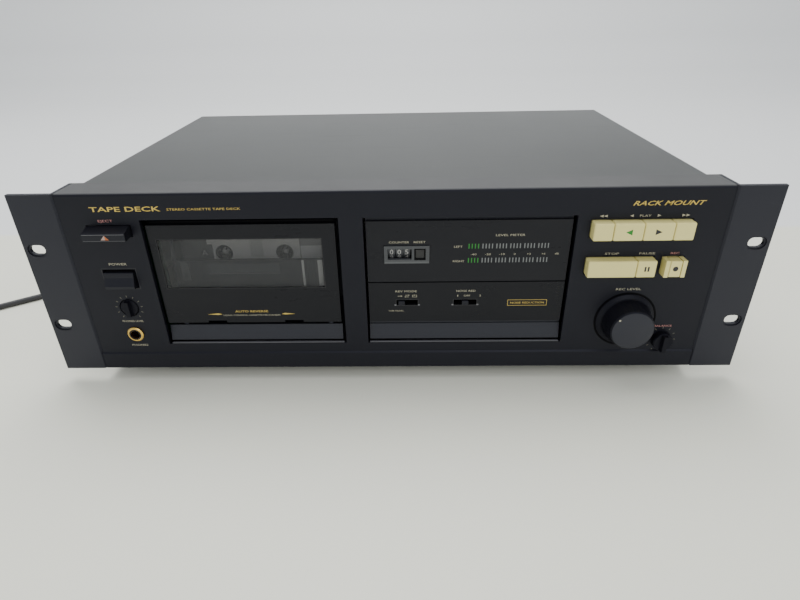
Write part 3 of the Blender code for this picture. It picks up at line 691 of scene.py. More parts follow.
def end_tree(tree, given, points, rotation=None):
    """Puts the piece on the points, makes it real geometry and sets its finish."""
    source = wire(tree, "GeometryNodeObjectInfo", None, {"Object": given["Piece"]}).outputs["Geometry"]
    values = {"Points": points, "Instance": source}
    if rotation is not None:
        values["Rotation"] = rotation
    copies = wire(tree, "GeometryNodeInstanceOnPoints", None, values).outputs["Instances"]
    real = wire(tree, "GeometryNodeRealizeInstances", None, {"Geometry": copies}).outputs["Geometry"]
    values = {"Geometry": real, "Material": given["Finish"]}
    finished = wire(tree, "GeometryNodeSetMaterial", None, values).outputs["Geometry"]
    wire(tree, "NodeGroupOutput", None, {"Geometry": finished})
    return tree


@made_once
def rows_tree():
    """Copies along a step, in groups that repeat along a longer step."""
    tree, given = start_tree(
        "rows_of_copies",
        (
            ("Copies", "NodeSocketInt", 4),
            ("Step", "NodeSocketVector", (1, 0, 0)),
            ("Groups", "NodeSocketInt", 1),
            ("Group Step", "NodeSocketVector", (0, 0, 0)),
            ("Start", "NodeSocketVector", (0, 0, 0)),
        ),
    )
    inner = wire(tree, "GeometryNodeMeshLine", None, {"Count": given["Copies"], "Offset": given["Step"]})
    values = {"Count": given["Groups"], "Start Location": given["Start"], "Offset": given["Group Step"]}
    outer = wire(tree, "GeometryNodeMeshLine", None, values)
    values = {"Points": outer.outputs["Mesh"], "Instance": inner.outputs["Mesh"]}
    spread = wire(tree, "GeometryNodeInstanceOnPoints", None, values).outputs["Instances"]
    points = wire(tree, "GeometryNodeRealizeInstances", None, {"Geometry": spread}).outputs["Geometry"]
    return end_tree(tree, given, points)


@made_once
def ring_tree():
    """Copies round a circle that faces the front; each is turned to point outwards."""
    tree, given = start_tree(
        "ring_of_copies",
        (
            ("Copies", "NodeSocketInt", 6),
            ("Radius", "NodeSocketFloat", 1.0),
            ("First Turn", "NodeSocketFloat", 0.0),
            ("Turn Step", "NodeSocketFloat", 1.0),
            ("Centre", "NodeSocketVector", (0, 0, 0)),
        ),
    )

    def maths(operation, first, second=0.0):
        return wire(tree, "ShaderNodeMath", {"operation": operation}, {0: first, 1: second}).outputs[0]

    index = wire(tree, "GeometryNodeInputIndex").outputs[0]
    turn = maths("ADD", maths("MULTIPLY", index, given["Turn Step"]), given["First Turn"])
    across = maths("MULTIPLY", maths("COSINE", turn), given["Radius"])
    up = maths("MULTIPLY", maths("SINE", turn), given["Radius"])
    offset = wire(tree, "ShaderNodeCombineXYZ", None, {"X": across, "Z": up}).outputs[0]
    points = wire(tree, "GeometryNodePoints", None, {"Count": given["Copies"], "Position": given["Centre"]})
    values = {"Geometry": points.outputs[0], "Offset": offset}
    moved = wire(tree, "GeometryNodeSetPosition", None, values).outputs["Geometry"]
    tilt = wire(tree, "ShaderNodeCombineXYZ", None, {"Y": maths("MULTIPLY", turn, -1.0)}).outputs[0]
    rotation = wire(tree, "FunctionNodeEulerToRotation", None, {"Euler": tilt}).outputs[0]
    return end_tree(tree, given, moved, rotation)


@made_once
def points_tree():
    """A copy on each point of the mesh that carries the tree."""
    tree, given = start_tree("copies_on_points", ())
    return end_tree(tree, given, given["Geometry"])


def copies(tree, mesh, finish, points=((0, 0, 0),), **values):
    """Runs a tree on a mesh in panel terms and gives the result as a mesh in the same terms."""
    source_data = bpy.data.meshes.new("source")
    mesh.to_mesh(source_data)
    mesh.free()
    source = bpy.data.objects.new("source", source_data)
    seed_data = bpy.data.meshes.new("seed")
    seed_data.from_pydata([tuple(point) for point in points], [], [])
    seed = bpy.data.objects.new("seed", seed_data)
    for holder in (source, seed):
        bpy.context.scene.collection.objects.link(holder)
    modifier = seed.modifiers.new("copies", "NODES")
    modifier.node_group = tree
    wanted = {"Piece": source, "Finish": finish}
    wanted.update({label.replace("_", " ").title(): value for label, value in values.items()})
    for item in tree.interface.items_tree:
        if item.in_out == "INPUT" and item.name in wanted:
            modifier[item.identifier] = wanted[item.name]
    bpy.context.view_layer.update()
    evaluated = seed.evaluated_get(bpy.context.evaluated_depsgraph_get())
    made = from_data(bpy.data.meshes.new_from_object(evaluated))
    for holder in (source, seed):
        bpy.data.objects.remove(holder)
    return made


# ---------------------------------------------------------------- sizes and colours a user may change


def colour_prop(name, description, default):
    settings = {"subtype": "COLOR", "size": 3, "min": 0.0, "max": 1.0}
    return FloatVectorProperty(name=name, description=description, default=default, **settings)


def length_prop(name, description, default):
    return FloatProperty(name=name, description=description, default=default, min=0.0, unit="LENGTH")


def power_prop(name, description, default):
    return FloatProperty(name=name, description=description, default=default, unit="POWER")


class DeckFinishes(bpy.types.PropertyGroup):
    """The colours of the deck."""

    fascia: colour_prop("Fascia", "Moulded front", (0.0052, 0.0052, 0.0085))
    ears: colour_prop("Ears", "Rack ears", (0.0115, 0.0115, 0.0165))
    cover: colour_prop("Cover", "Folded cover and chassis outside", (0.044, 0.046, 0.0455))
    keys: colour_prop("Keys", "Transport keys", (0.80, 0.72, 0.29))
    gilt: colour_prop("Gilt", "Gilt ring of the phones socket", (0.84, 0.55, 0.13))
    gold_print: colour_prop("Gold print", "Gold lettering", (0.62, 0.45, 0.10))
    pink_print: colour_prop("Pink print", "Pink lettering", (0.50, 0.22, 0.20))
    cassette: colour_prop("Cassette", "Cassette shell", (0.13, 0.13, 0.135))


class DeckSizes(bpy.types.PropertyGroup):
    """The sizes of the trim and the lead."""

    lead_length: length_prop("Lead length", "The mains lead from its strain relief to its plug", 1.6)
    lead_diameter: length_prop("Lead diameter", "Thickness of the mains lead", 0.0052)
    segment_width: length_prop("Segment width", "Width of one meter segment", 0.00068)
    screw_head: length_prop("Screw head", "Radius of the case screws' heads", 0.0028)
    tick_length: length_prop("Tick length", "Length of the marks round the small knobs", 0.0014)
    hub_teeth: IntProperty(name="Hub teeth", description="Teeth inside each tape hub", default=6, min=3, max=12)


class DeckStage(bpy.types.PropertyGroup):
    """The studio round the deck."""

    overhead: power_prop("Overhead", "Power of the large overhead light", 34.0)
    front: power_prop("Front", "Power of the front light", 9.0)
    table: colour_prop("Table", "Table top", (0.87, 0.87, 0.75))
    backdrop: StringProperty(name="Backdrop", description="Name of the backdrop object", default="backdrop")


def sizes():
    return bpy.context.scene.deck_sizes


# ---------------------------------------------------------------- cabinet


def screw_head(radius, depth_out=1.2):
    """A pan head, its face towards the front, at the origin, and a near-black cross laid on its crown: painted
    shade for the cross recess.
    """
    profile = [(radius, 0), (radius, -0.35 * depth_out), (radius * 0.72, -0.9 * depth_out), (0, -depth_out)]
    arm, cut = radius * 0.55, (-depth_out - 0.02, -depth_out + 0.25)
    cross = merged([block(-arm, arm, *cut, -0.3, 0.3), block(-0.3, 0.3, *cut, -arm, arm)])
    return lathe(profile, (0, 0), 20), cross


def turned_screws(turn, points):
    """Screw heads and their painted-shade crosses on points, turned from the front to another side."""
    head, cross = screw_head(sizes().screw_head / MM)
    for mesh in (head, cross):
        mesh.transform(turn)
    heads = copies(points_tree(), head, zinc_plate(), points)
    crosses = copies(points_tree(), cross, gap_black(), points)
    return heads, crosses


def cover_screws():
    side = [(52.0, 18.0), (236.0, 18.0)]
    left = turned_screws(Matrix.Rotation(-math.pi / 2, 4, "Z"), [(-COVER_SIDE, d, h) for d, h in side])
    right = turned_screws(Matrix.Rotation(math.pi / 2, 4, "Z"), [(COVER_SIDE, d, h) for d, h in side])
    places = [(x, REAR_WALL, 122.0) for x in (-196.0, 0.0, 196.0)]
    places += [(x, REAR_WALL, 12.0) for x in (-196.0, -60.0, 60.0, 196.0)]
    rear = turned_screws(Matrix.Rotation(math.pi, 4, "Z"), places)
    heads, crosses = zip(left, right, rear)
    piece("case_screw_heads", merged(heads), zinc_plate(), "deck")
    # painted shade: near-black crosses standing for the shadow in the heads' cross recesses
    piece("case_screw_crosses", merged(crosses), gap_black(), "deck")


class DECK_OT_cabinet(bpy.types.Operator):
    """Finish the fascia, ears, cover, chassis and feet, and add the case screws"""

    bl_idname = "deck.cabinet"
    bl_label = "Cabinet"

    def execute(self, context):
        dress(fascia_satin(), "fascia")
        dress(ear_paint(), "ear_left", "ear_right")
        dress(cover_paint(), "top_cover")
        dress(zinc_plate(), "bottom_chassis", "head_base")
        dress(rubber(), "foot_front_left", "foot_front_right", "foot_rear_left", "foot_rear_right")
        cover_screws()
        return {"FINISHED"}


class DECK_OT_bay_trim(bpy.types.Operator):
    """Add lighter strips along the foot of both bays, painted highlights on their lower edges, and a near-black
    lip over the cassette, painted shade in the gap above the door
    """

    bl_idname = "deck.bay_trim"
    bl_label = "Bay trim"

    def execute(self, context):
        bays = ((-158.5, -34.6), (-16.2, 116.6))
        # painted highlights: lighter strips standing for the light caught by each bay's lower edge
        sills = [block(left, right, 0.25, 1.9, 20.55, 21.35, 0.2) for left, right in bays]
        piece("bay_sills", merged(sills), signal_plastic("sill_highlight", (0.085, 0.085, 0.095)), "deck")
        # painted shade: a near-black block standing for the shadow in the gap above the door
        lip = block(-158.6, -36.4, 5.5, 13.6, 109.0, 112.0, 0.4)
        piece("door_lip", lip, gap_black(), "door")
        return {"FINISHED"}


class DECK_OT_insides(bpy.types.Operator):
    """Finish the boards, the motor, the transformer, the flywheels and the rollers"""

    bl_idname = "deck.insides"
    bl_label = "Insides"

    def execute(self, context):
        dress(board_green(), "main_board", "key_board", "phones_board", "meter_board")
        dress(winding_lacquer(), "power_transformer")
        dress(turned_steel(), "capstan_motor", "motor_pulley", "capstan_left", "capstan_right")
        dress(rubber(), "drive_belt", "pinch_roller_left", "pinch_roller_right")
        dress(tray_black(), "display_frame", "cassette_carrier")
        dress(ear_paint(), "transport_plate")
        dress(spindle_white(), "reel_spindle_left", "reel_spindle_right")
        return {"FINISHED"}


# ---------------------------------------------------------------- front left: name, eject, power, phones


def ticks(name, centre, radius, first, step, count, finish):
    """Marks round a knob; the angles are in degrees, anticlockwise from the right."""
    length = sizes().tick_length / MM
    mark = bar(-length / 2, length / 2, -0.18, 0.18, 0)
    values = {"copies": count, "radius": radius}
    values.update(first_turn=math.radians(first), turn_step=math.radians(step))
    made = copies(ring_tree(), mark, finish, centre=(centre[0], -PRINT, centre[1]), **values)
    return printed(name, made, finish)


class DECK_OT_name_print(bpy.types.Operator):
    """Print the plain words along the fascia's top edge"""

    bl_idname = "deck.name_print"
    bl_label = "Name print"

    def execute(self, context):
        title = letters("TAPE DECK", 3.3, -190.5, -145.0, 122.3, -PRINT, weight=0.06)
        line = letters("STEREO CASSETTE TAPE DECK", 1.5, -141.0, -94.0, 121.7, -PRINT)
        badge = letters("RACK MOUNT", 3.0, 150.5, 195.0, 122.0, -PRINT, shear=0.35, weight=0.045)
        printed("gold_words", merged([title, line, badge]), gold_ink())
        return {"FINISHED"}


class DECK_OT_eject_and_power(bpy.types.Operator):
    """Finish the eject bar and the power wedge with their marks"""

    bl_idname = "deck.eject_and_power"
    bl_label = "Eject and power"

    def execute(self, context):
        dress(control_black(), "eject_button", "power_button")
        mark = flat([(-183.2, 104.9), (-177.8, 104.9), (-180.5, 107.9)], EJECT_FACE - PRINT)
        half = flat([(-180.3, 104.9), (-177.8, 104.9), (-180.3, 107.8)], EJECT_FACE - 2 * PRINT)
        # painted highlights: lighter lines standing for light caught along the eject bar's top and bottom edges
        edges = [bar(-194.8, -167.8, *span, EJECT_FACE - PRINT) for span in ((108.3, 108.6), (104.1, 104.3))]
        printed("eject_edges", edges, ink("edge_highlight", (0.13, 0.13, 0.14)), "eject")
        printed("eject_mark", mark, ink("eject_pink", (0.42, 0.30, 0.26)), "eject")
        printed("eject_mark_half", half, ink("orange_ink", (0.45, 0.12, 0.03)), "eject")
        printed("eject_word", letters("EJECT", 1.7, -187.0, -177.5, 114.5, -PRINT), pink_ink())
        printed("power_word", letters("POWER", 1.8, -188.0, -176.0, 84.0, -PRINT), pale_ink())
        line = outline_frame(-194.4, -170.8, 65.2, 80.8, 0.3, -PRINT)
        printed("power_outline", line, dark_ink())
        baffle = block(-196.6, -195.6, 4.2, 11.6, 60.0, 86.0, 0.2)
        piece("power_baffle", baffle, control_black(), "deck")
        return {"FINISHED"}


class DECK_OT_phones(bpy.types.Operator):
    """Finish the phones knob and its gilt socket with their print"""

    bl_idname = "deck.phones"
    bl_label = "Phones"

    def execute(self, context):
        dress(knob_black(), "phones_level_knob")
        dress(gilt(), "phones_jack")
        bushing = washer(PHONES_SOCKET, 3.27, 4.3, -1.5 - PRINT, 48)
        printed("phones_bushing", bushing, control_black())
        ticks("phones_ticks", PHONES_KNOB, 8.9, -50.0, 28.0, 11, tick_ink())
        words = letters("PHONES LEVEL", 1.5, -190.0, -175.0, 39.8, -PRINT)
        lower = letters("PHONES", 1.6, -188.0, -176.5, 19.8, -PRINT)
        printed("phones_words", merged([words, lower]), pale_ink())
        return {"FINISHED"}


# ---------------------------------------------------------------- door and cassette


class DECK_OT_door(bpy.types.Operator):
    """Finish the door, its clear window, its print and the dark notches at its foot"""

    bl_idname = "deck.door"
    bl_label = "Door"

    def execute(self, context):
        dress(smoked("door_acrylic", 0.006), "door_panel")
        dress(clear_smoke(), "door_window")
        face = PANE - PRINT
        word = letters("AUTO REVERSE", 1.7, -110.1, -86.9, 45.3, face, weight=0.01)
        dashes = [
            flat([(-130.0, 43.0), (-122.0, 42.5), (-119.5, 43.0), (-122.0, 43.8)], face),
            flat([(-67.8, 43.0), (-75.2, 43.8), (-77.6, 43.0), (-75.2, 42.5)], face),
        ]
        printed("door_gold_print", merged([word, *dashes]), gold_ink(), "door")
        small = letters("LOGIC CONTROL CASSETTE MECHANISM", 1.1, -118.7, -78.8, 42.2, face)
        printed("door_small_print", small, pale_ink(), "door")
        edge = outline_frame(-154.3, -45.0, 63.4, 100.0, 0.35, face)
        printed("window_outline", edge, dark_ink(), "door")
        return {"FINISHED"}


def hub_teeth(x):
    """The drive teeth that point inwards in a tape hub."""
    tooth = block(-1.35, 0.9, CASSETTE_FACE + 0.6, CASSETTE_FACE + 6.5, -0.42, 0.42, 0.12)
    count = sizes().hub_teeth
    values = {"copies": count, "radius": 3.9, "turn_step": math.tau / count, "centre": (x, 0, HUB_HEIGHT)}
    return copies(ring_tree(), tooth, hub_grey(), **values)


def cassette_screws():
    head, cross = screw_head(1.5, 0.35)
    places = [(x, CASSETTE_FACE - 0.02, h) for x in (-142.4, -49.1) for h in (51.5, 107.6)]
    heads = copies(points_tree(), head, nickel(), places)
    piece("cassette_screw_heads", heads, nickel(), "door")
    # painted shade: near-black crosses standing for the shadow in the cross recesses
    crosses = copies(points_tree(), cross, gap_black(), places)
    piece("cassette_screw_crosses", crosses, gap_black(), "door")


def holed_square(centre, half, radius, depth, steps=40):
    """A square towards the front with a round hole in its middle."""
    mesh = bmesh.new()
    inner, outer = [], []
    for i in range(steps):
        x, h = math.cos(math.tau * i / steps), math.sin(math.tau * i / steps)
        reach = half / max(abs(x), abs(h))
        inner.append(mesh.verts.new((centre[0] + radius * x, depth, centre[1] + radius * h)))
        outer.append(mesh.verts.new((centre[0] + reach * x, depth, centre[1] + reach * h)))
    for i in range(steps):
        j = (i + 1) % steps
        mesh.faces.new([inner[i], outer[i], outer[j], inner[j]])
    return mesh


def paper_label(face):
    """A label with a round hole over each hub."""
    shapes = [bar(*LABEL, 88.6, 98.8, face)]
    between = ((-124.6, -123.6), (-110.4, -81.1), (-67.9, -63.6))
    shapes += [bar(left, right, 75.4, 88.6, face) for left, right in between]
    shapes += [holed_square((x, HUB_HEIGHT), 6.6, 6.1, face) for _, x in HUBS]
    return merged(shapes)


class DECK_OT_cassette(bpy.types.Operator):
    """Finish the cassette in the bay: shell, paper label, tape window, side mark, screws and hub teeth"""

    bl_idname = "deck.cassette"
    bl_label = "Cassette"

    def execute(self, context):
        dress(shell_grey(), "cassette_shell")
        dress(hub_grey(), "cassette_hub_left", "cassette_hub_right")
        face = CASSETTE_FACE - PRINT
        label = paper_label(face)
        printed("cassette_label", label, label_paper(), "door")
        lines = [bar(*LABEL, low, high, face - PRINT) for low, high in ((97.6, 98.2), (94.6, 94.8))]
        printed("label_lines", lines, signal_plastic("label_line", (0.42, 0.43, 0.45)), "door")
        printed("side_letter", letters("A", 4.4, -133.0, -128.4, 82.4, face), white_ink(), "door")
        window = bar(-98.5, -89.5, 79.0, 92.0, face - PRINT)
        printed("tape_window", window, signal_plastic("window_pale", (0.62, 0.62, 0.60)), "door")
        end = bar(-63.2, -46.6, 66.0, 87.0, face)
        upper_end = bar(-63.2, -46.6, 87.0, 98.8, face)
        printed("shell_end_top", upper_end, signal_plastic("end_grey", (0.34, 0.34, 0.34)), "door")
        printed("shell_end", end, signal_plastic("end_pale", (0.84, 0.84, 0.83)), "door")
        for name, x in HUBS:
            piece(name + "_teeth", hub_teeth(x), hub_grey(), name)
        cassette_screws()
        return {"FINISHED"}


def carrier_ribs():
    """The ribbed grey block at the carrier's right."""
    rib = block(-58.9, -57.9, 8.3, CARRIER_FACE, 61.8, 81.5, 0.15)
    values = {"copies": 5, "step": (1.75, 0, 0)}
    return copies(rows_tree(), rib, bezel_grey(), **values)


class DECK_OT_carrier_trim(bpy.types.Operator):
    """Add the ribbed block and the light strips on the carrier behind the window"""

    bl_idname = "deck.carrier_trim"
    bl_label = "Carrier trim"

    def execute(self, context):
        piece("carrier_ribs", carrier_ribs(), bezel_grey(), "door")
        pale = ((-61.0, -59.4), (-50.2, -46.8))
        strips = [block(left, right, 8.4, CARRIER_FACE, 61.5, 81.6, 0.1) for left, right in pale]
        # painted reflection: a lighter grey patch behind the window's left part, standing for light reflected
        # in the window
        patch = block(-144.0, -138.4, 8.4, CARRIER_FACE, 67.0, 81.4, 0.15)
        piece("carrier_patch", patch, bezel_grey(), "door")
        piece("carrier_strips", merged(strips), spindle_white(), "door")
        line = block(-125.7, -76.4, 8.75, CARRIER_FACE, 71.9, 72.3, 0.05)
        line_grey = signal_plastic("line_grey", (0.17, 0.17, 0.175))
        piece("carrier_line", line, line_grey, "door")
        band = block(-126.0, -76.0, 8.85, CARRIER_FACE, 72.6, 79.4, 0.05)
        band_grey = signal_plastic("band_grey", (0.042, 0.045, 0.055))
        piece("carrier_band", band, band_grey, "door")
        return {"FINISHED"}


# ---------------------------------------------------------------- display and switches


def meter_segments(name, bottom, groups, left, finish):
    width = sizes().segment_width / MM
    segment = bar(0, width, 0, 3.4, 0)
    values = {"copies": 4, "step": (2.06, 0, 0), "groups": groups, "group_step": (9.024, 0, 0)}
    made = copies(rows_tree(), segment, finish, start=(left, PANE - PRINT, bottom), **values)
    return printed(name, made, finish)


class DECK_OT_meters(bpy.types.Operator):
    """Finish the display window and print the two rows of meter segments and their scale"""

    bl_idname = "deck.meters"
    bl_label = "Level meters"

    def execute(self, context):
        # lighter than the switch pane below: smoked acrylic, with its extra lightness a painted reflection
        dress(smoked("display_acrylic_lit", 0.0075), "display_window")
        rest = ink("segment_grey", (0.19, 0.20, 0.20))
        for name, bottom in (("left", 91.3), ("right", 81.2)):
            meter_segments(name + "_segments_low", bottom, 1, 50.66, lit_green())
            meter_segments(name + "_segments", bottom, 5, 59.68, rest)
        face = PANE - PRINT
        words = [letters("LEVEL METER", 1.5, 68.0, 86.8, 100.6, face)]
        words.append(letters("LEFT", 1.5, 41.3, 46.8, 92.8, face))
        words.append(letters("RIGHT", 1.5, 40.8, 48.3, 82.4, face))
        marks = ("-40", "-20", "-10", "0", "+3", "+6", "dB")
        for text, x in zip(marks, (54.2, 63.6, 72.7, 81.1, 90.2, 99.8, 108.4)):
            half = 0.62 * len(text)
            words.append(letters(text, 1.35, x - half, x + half, 87.2, face))
        printed("meter_print", words, pale_ink())
        return {"FINISHED"}


def drum_figures(x, shown):
    """Ten figures round a drum, the shown one at the front and the next ones above it."""
    depth, height, radius = 13.2, 88.0, 6.94
    shapes = []
    for step in range(10):
        figure = (shown + step) % 10
        half = 0.55 if figure == 1 else 1.15
        shape = letters(str(figure), 3.7, x - half, x + half, height, 0, weight=0.01)
        for vert in shape.verts:
            turn = (vert.co.z - height) / radius + step * math.tau / 10
            vert.co.y = depth - radius * math.cos(turn)
            vert.co.z = height + radius * math.sin(turn)
        shapes.append(shape)
    return merged(shapes)


class DECK_OT_counter(bpy.types.Operator):
    """Finish the tape counter: its housing, drums, figures and reset button"""

    bl_idname = "deck.counter"
    bl_label = "Tape counter"

    def execute(self, context):
        dress(bezel_grey(), "counter_housing")
        drums = ("counter_drum_hundreds", "counter_drum_tens", "counter_drum_units")
        dress(signal_plastic("drum_grey", (0.065, 0.068, 0.074)), *drums)
        dress(hub_grey(), "counter_reset_button")
        # painted shade: a near-black frame standing for the shadow in the reset button's recess
        dark = outline_frame(15.3, 22.7, 83.7, 91.9, 0.7, BEZEL_FACE - PRINT)
        printed("reset_surround", dark, gap_black())
        rim = bar(-4.2, 24.9, 81.6, 82.7, BEZEL_FACE - PRINT)
        printed("counter_rim", rim, signal_plastic("rim_grey", (0.085, 0.09, 0.095)))
        for name, x, shown in (("hundreds", 0.3, 0), ("tens", 5.35, 0), ("units", 10.4, 5)):
            printed(name + "_figures", drum_figures(x, shown), white_ink(), "drum_" + name)
        face = PANE - PRINT
        words = [letters("COUNTER", 1.5, -1.2, 12.0, 96.3, face), letters("RESET", 1.5, 15.0, 22.7, 96.3, face)]
        printed("counter_print", words, pale_ink())
        return {"FINISHED"}


def way_marks():
    """The three one-way, both-ways and round-and-round marks of the reverse switch."""
    face = PANE - PRINT
    shapes = [bar(3.9, 6.3, 56.2, 56.5, face), arrow((6.6, 56.35), 1.0, 1.2, 1, face)]
    shapes += [bar(9.0, 11.6, 56.9, 57.15, face), bar(9.0, 11.6, 55.6, 55.85, face)]
    shapes += [arrow((11.7, 57.0), 0.9, 1.0, 1, face), arrow((8.9, 55.72), 0.9, 1.0, -1, face)]
    shapes += [outline_frame(13.9, 17.0, 55.5, 57.2, 0.25, face), arrow((15.6, 57.1), 0.9, 1.0, 1, face)]
    return shapes


class DECK_OT_switches(bpy.types.Operator):
    """Finish the switch panel, its sliding knobs and its print"""

    bl_idname = "deck.switches"
    bl_label = "Slide switches"

    def execute(self, context):
        dress(smoked("switch_acrylic", 0.0055), "switch_panel")
        dress(control_black(), "reverse_mode_knob", "noise_reduction_knob")
        face = PANE - PRINT
        words = [letters("REV MODE", 1.5, 2.4, 17.0, 60.1, face)]
        words.append(letters("NOISE RED", 1.5, 43.8, 56.9, 60.1, face))
        for text, x, half in (("1", 44.9, 0.3), ("OFF", 51.2, 2.2), ("2", 60.2, 0.6)):
            words.append(letters(text, 1.4, x - half, x + half, 56.4, face))
        words += [letters("TAPE TRAVEL", 1.1, -2.6, 8.0, 44.8, face)] + way_marks()
        printed("switch_print", words, pale_ink())
        shines = [outline_frame(*span, 48.8, 53.8, 0.3, face) for span in ((2.5, 18.1), (41.8, 58.4))]
        printed("slot_rims", shines, dark_ink())
        # painted highlights: lighter spots standing for light caught by the slots' end chamfers
        spots = [bar(x, x + 1.3, 48.9, 49.9, face - PRINT) for x in (1.6, 17.8, 40.9, 58.0)]
        printed("slot_spots", spots, ink("chamfer_highlight", (0.16, 0.16, 0.17)))
        badge = [outline_frame(79.1, 105.9, 48.3, 52.9, 0.28, face)]
        badge.append(letters("NOISE REDUCTION", 1.5, 81.0, 104.0, 50.6, face))
        printed("badge_print", badge, gold_ink())
        return {"FINISHED"}


# ---------------------------------------------------------------- keys and knobs


class DECK_OT_keys(bpy.types.Operator):
    """Finish the transport keys with their symbols and the words beside them"""

    bl_idname = "deck.keys"
    bl_label = "Transport keys"

    def execute(self, context):
        names = ("rewind", "play_reverse", "play_forward", "fast_forward", "stop", "pause", "record")
        dress(key_cream(), "rec_key_guard", *("key_" + name for name in names))
        face = KEY_FACE - PRINT
        printed("play_reverse_mark", arrow((148.7, 105.2), 4.0, 3.8, -1, face), lit_green(), "play_reverse")
        printed("play_forward_mark", arrow((167.0, 105.2), 4.0, 3.8, 1, face), dark_ink(), "play_forward")
        pause = merged([bar(162.9, 164.0, 78.0, 81.4, face), bar(164.9, 166.0, 78.0, 81.4, face)])
        printed("pause_mark", pause, dark_ink(), "pause")
        dot = lathe([(0, 0), (1.7, 0)], (182.6, 79.7), 32)
        dot.transform(Matrix.Translation((0, face, 0)))
        printed("record_mark", dot, dark_ink(), "record")
        print_by_keys()
        return {"FINISHED"}


def print_by_keys():
    words = [letters("PLAY", 1.5, 156.0, 163.0, 113.8, -PRINT)]
    words += [arrow((151.0, 113.8), 2.2, 1.8, -1, -PRINT), arrow((168.0, 113.8), 2.2, 1.8, 1, -PRINT)]
    words += [arrow((x, 113.8), 2.3, 1.8, -1, -PRINT) for x in (132.4, 134.9)]
    words += [arrow((x, 113.8), 2.3, 1.8, 1, -PRINT) for x in (183.2, 185.7)]
    words.append(letters("STOP", 1.5, 138.5, 147.5, 88.0, -PRINT))
    words.append(letters("PAUSE", 1.5, 160.5, 170.5, 88.0, -PRINT))
    printed("key_print", words, pale_ink())
    printed("record_print", letters("REC", 1.5, 180.5, 186.0, 88.0, -PRINT), pink_ink())


class DECK_OT_level_knobs(bpy.types.Operator):
    """Finish the recording-level and balance knobs with their rings, dots and marks"""

    bl_idname = "deck.level_knobs"
    bl_label = "Level knobs"

    def execute(self, context):
        dress(knob_black(), "rec_level_knob", "balance_knob")
        # painted shade: a flat near-black ring standing for the shadow in the groove round the knob
        groove = washer(REC_KNOB, 19.6, 21.0, -PRINT, 72)
        printed("rec_knob_groove", groove, gap_black())
        turn = math.radians(140)
        place = (REC_KNOB[0] + 12.6 * math.cos(turn), REC_KNOB[1] + 12.6 * math.sin(turn))
        # the cap is lighter and glossier than the knob's side: a real cap, and a painted highlight on its face
        cap = lathe([(0, -15.55), (13.4, -15.55), (13.58, -15.5)], REC_KNOB, 64)
        piece("rec_knob_cap", cap, cap_satin(), "rec_level", closed=False)
        dot = lathe([(0, 0), (0.7, 0)], place, 24)
        dot.transform(Matrix.Translation((0, -15.58, 0)))
        printed("rec_knob_dot", dot, pale_ink(), "rec_level")
        ticks("balance_ticks", BALANCE_KNOB, 9.4, -60.0, 30.0, 11, tick_ink())
        words = letters("REC LEVEL", 1.6, 150.0, 166.5, 62.0, -PRINT)
        printed("rec_level_print", words, pale_ink())
        printed("balance_print", letters("BALANCE", 1.5, 181.0, 193.0, 33.0, -PRINT), pink_ink())
        return {"FINISHED"}


# ---------------------------------------------------------------- back


def phono_rings():
    """A coloured insulator round each phono socket: red for the right channel, white for the left."""
    profile = [(4.35, 264.6), (4.35, 265.7), (6.1, 265.7), (6.4, 265.4), (6.4, 264.6)]
    for name, height, colour in (("red", 68.0, (0.46, 0.02, 0.02)), ("white", 82.0, (0.62, 0.61, 0.58))):
        finish = signal_plastic("phono_" + name, colour)
        source = lathe(profile, (0, 0), 28, ring=True)
        made = copies(points_tree(), source, finish, [(x, 0, height) for x in (134.0, 162.0)])
        piece("phono_rings_" + name, made, finish, "deck")


class DECK_OT_back(bpy.types.Operator):
    """Finish the rear sockets with their coloured rings and print"""

    bl_idname = "deck.back"
    bl_label = "Back"

    def execute(self, context):
        dress(control_black(), "rear_jack_block")
        phono_rings()
        face = JACK_FACE + PRINT
        words = [letters("LINE IN", 1.9, 157.0, 167.0, 88.0, face, turn=BACK)]
        words.append(letters("LINE OUT", 1.9, 128.5, 139.5, 88.0, face, turn=BACK))
        words.append(letters("MAINS LEAD", 1.9, -173.0, -157.0, 43.0, REAR_WALL + PRINT, turn=BACK))
        # painted shade: near-black strips on the rear wall standing for the dark inside of vent slots
        vent = block(-0.8, 0.8, 262.9, 263.13, -9.0, 9.0)
        values = {"copies": 12, "step": (5.0, 0, 0), "start": (-110.0, 0, 92.0)}
        vents = copies(rows_tree(), vent, gap_black(), groups=2, group_step=(0, 0, -24.0), **values)
        piece("rear_vents", vents, gap_black(), "deck")
        for text, height in (("L", 82.0), ("R", 68.0)):
            words.append(letters(text, 2.2, 147.2, 148.8, height, face, turn=BACK))
        printed("rear_print", words, pale_ink())
        return {"FINISHED"}


# ---------------------------------------------------------------- mains lead

LEAD_ROUTE = [
    (-165, 292.3, 30),
    (-165, 303, 29.5),
    (-165.6, 314, 26),
    (-168.5, 324, 18),
    (-174.5, 331.5, 8),
    (-183.5, 335.5, 0),
    (-195, 335, -5),
    (-207, 328, -7.1),
    (-218, 315, -7.3),
    (-227, 296, -7.3),
    (-235, 272, -7.3),
    (-244.5, 243, -7.3),
    (-256.5, 212, -7.3),
    (-271.5, 184, -7.3),
    (-291, 162, -7.3),
    (-314.5, 143.5, -7.3),
    (-339.8, 124.9, -7.3),
    (-366.6, 105.2, -7.3),
    (-393.0, 85.8, -7.3),
]
COIL_MIDDLE = (-388.8, 43.7)
LEAD_END = (-390.4, -0.8, -3.05)  # where it goes into the plug
PLUG_TURN = math.radians(-30.0)  # the way its pins point
PLUG_FACE = 0.0372  # from the lead to where the pins start, in metres


def eased(share):
    share = min(1.0, max(0.0, share))
    return share * share * (3 - 2 * share)


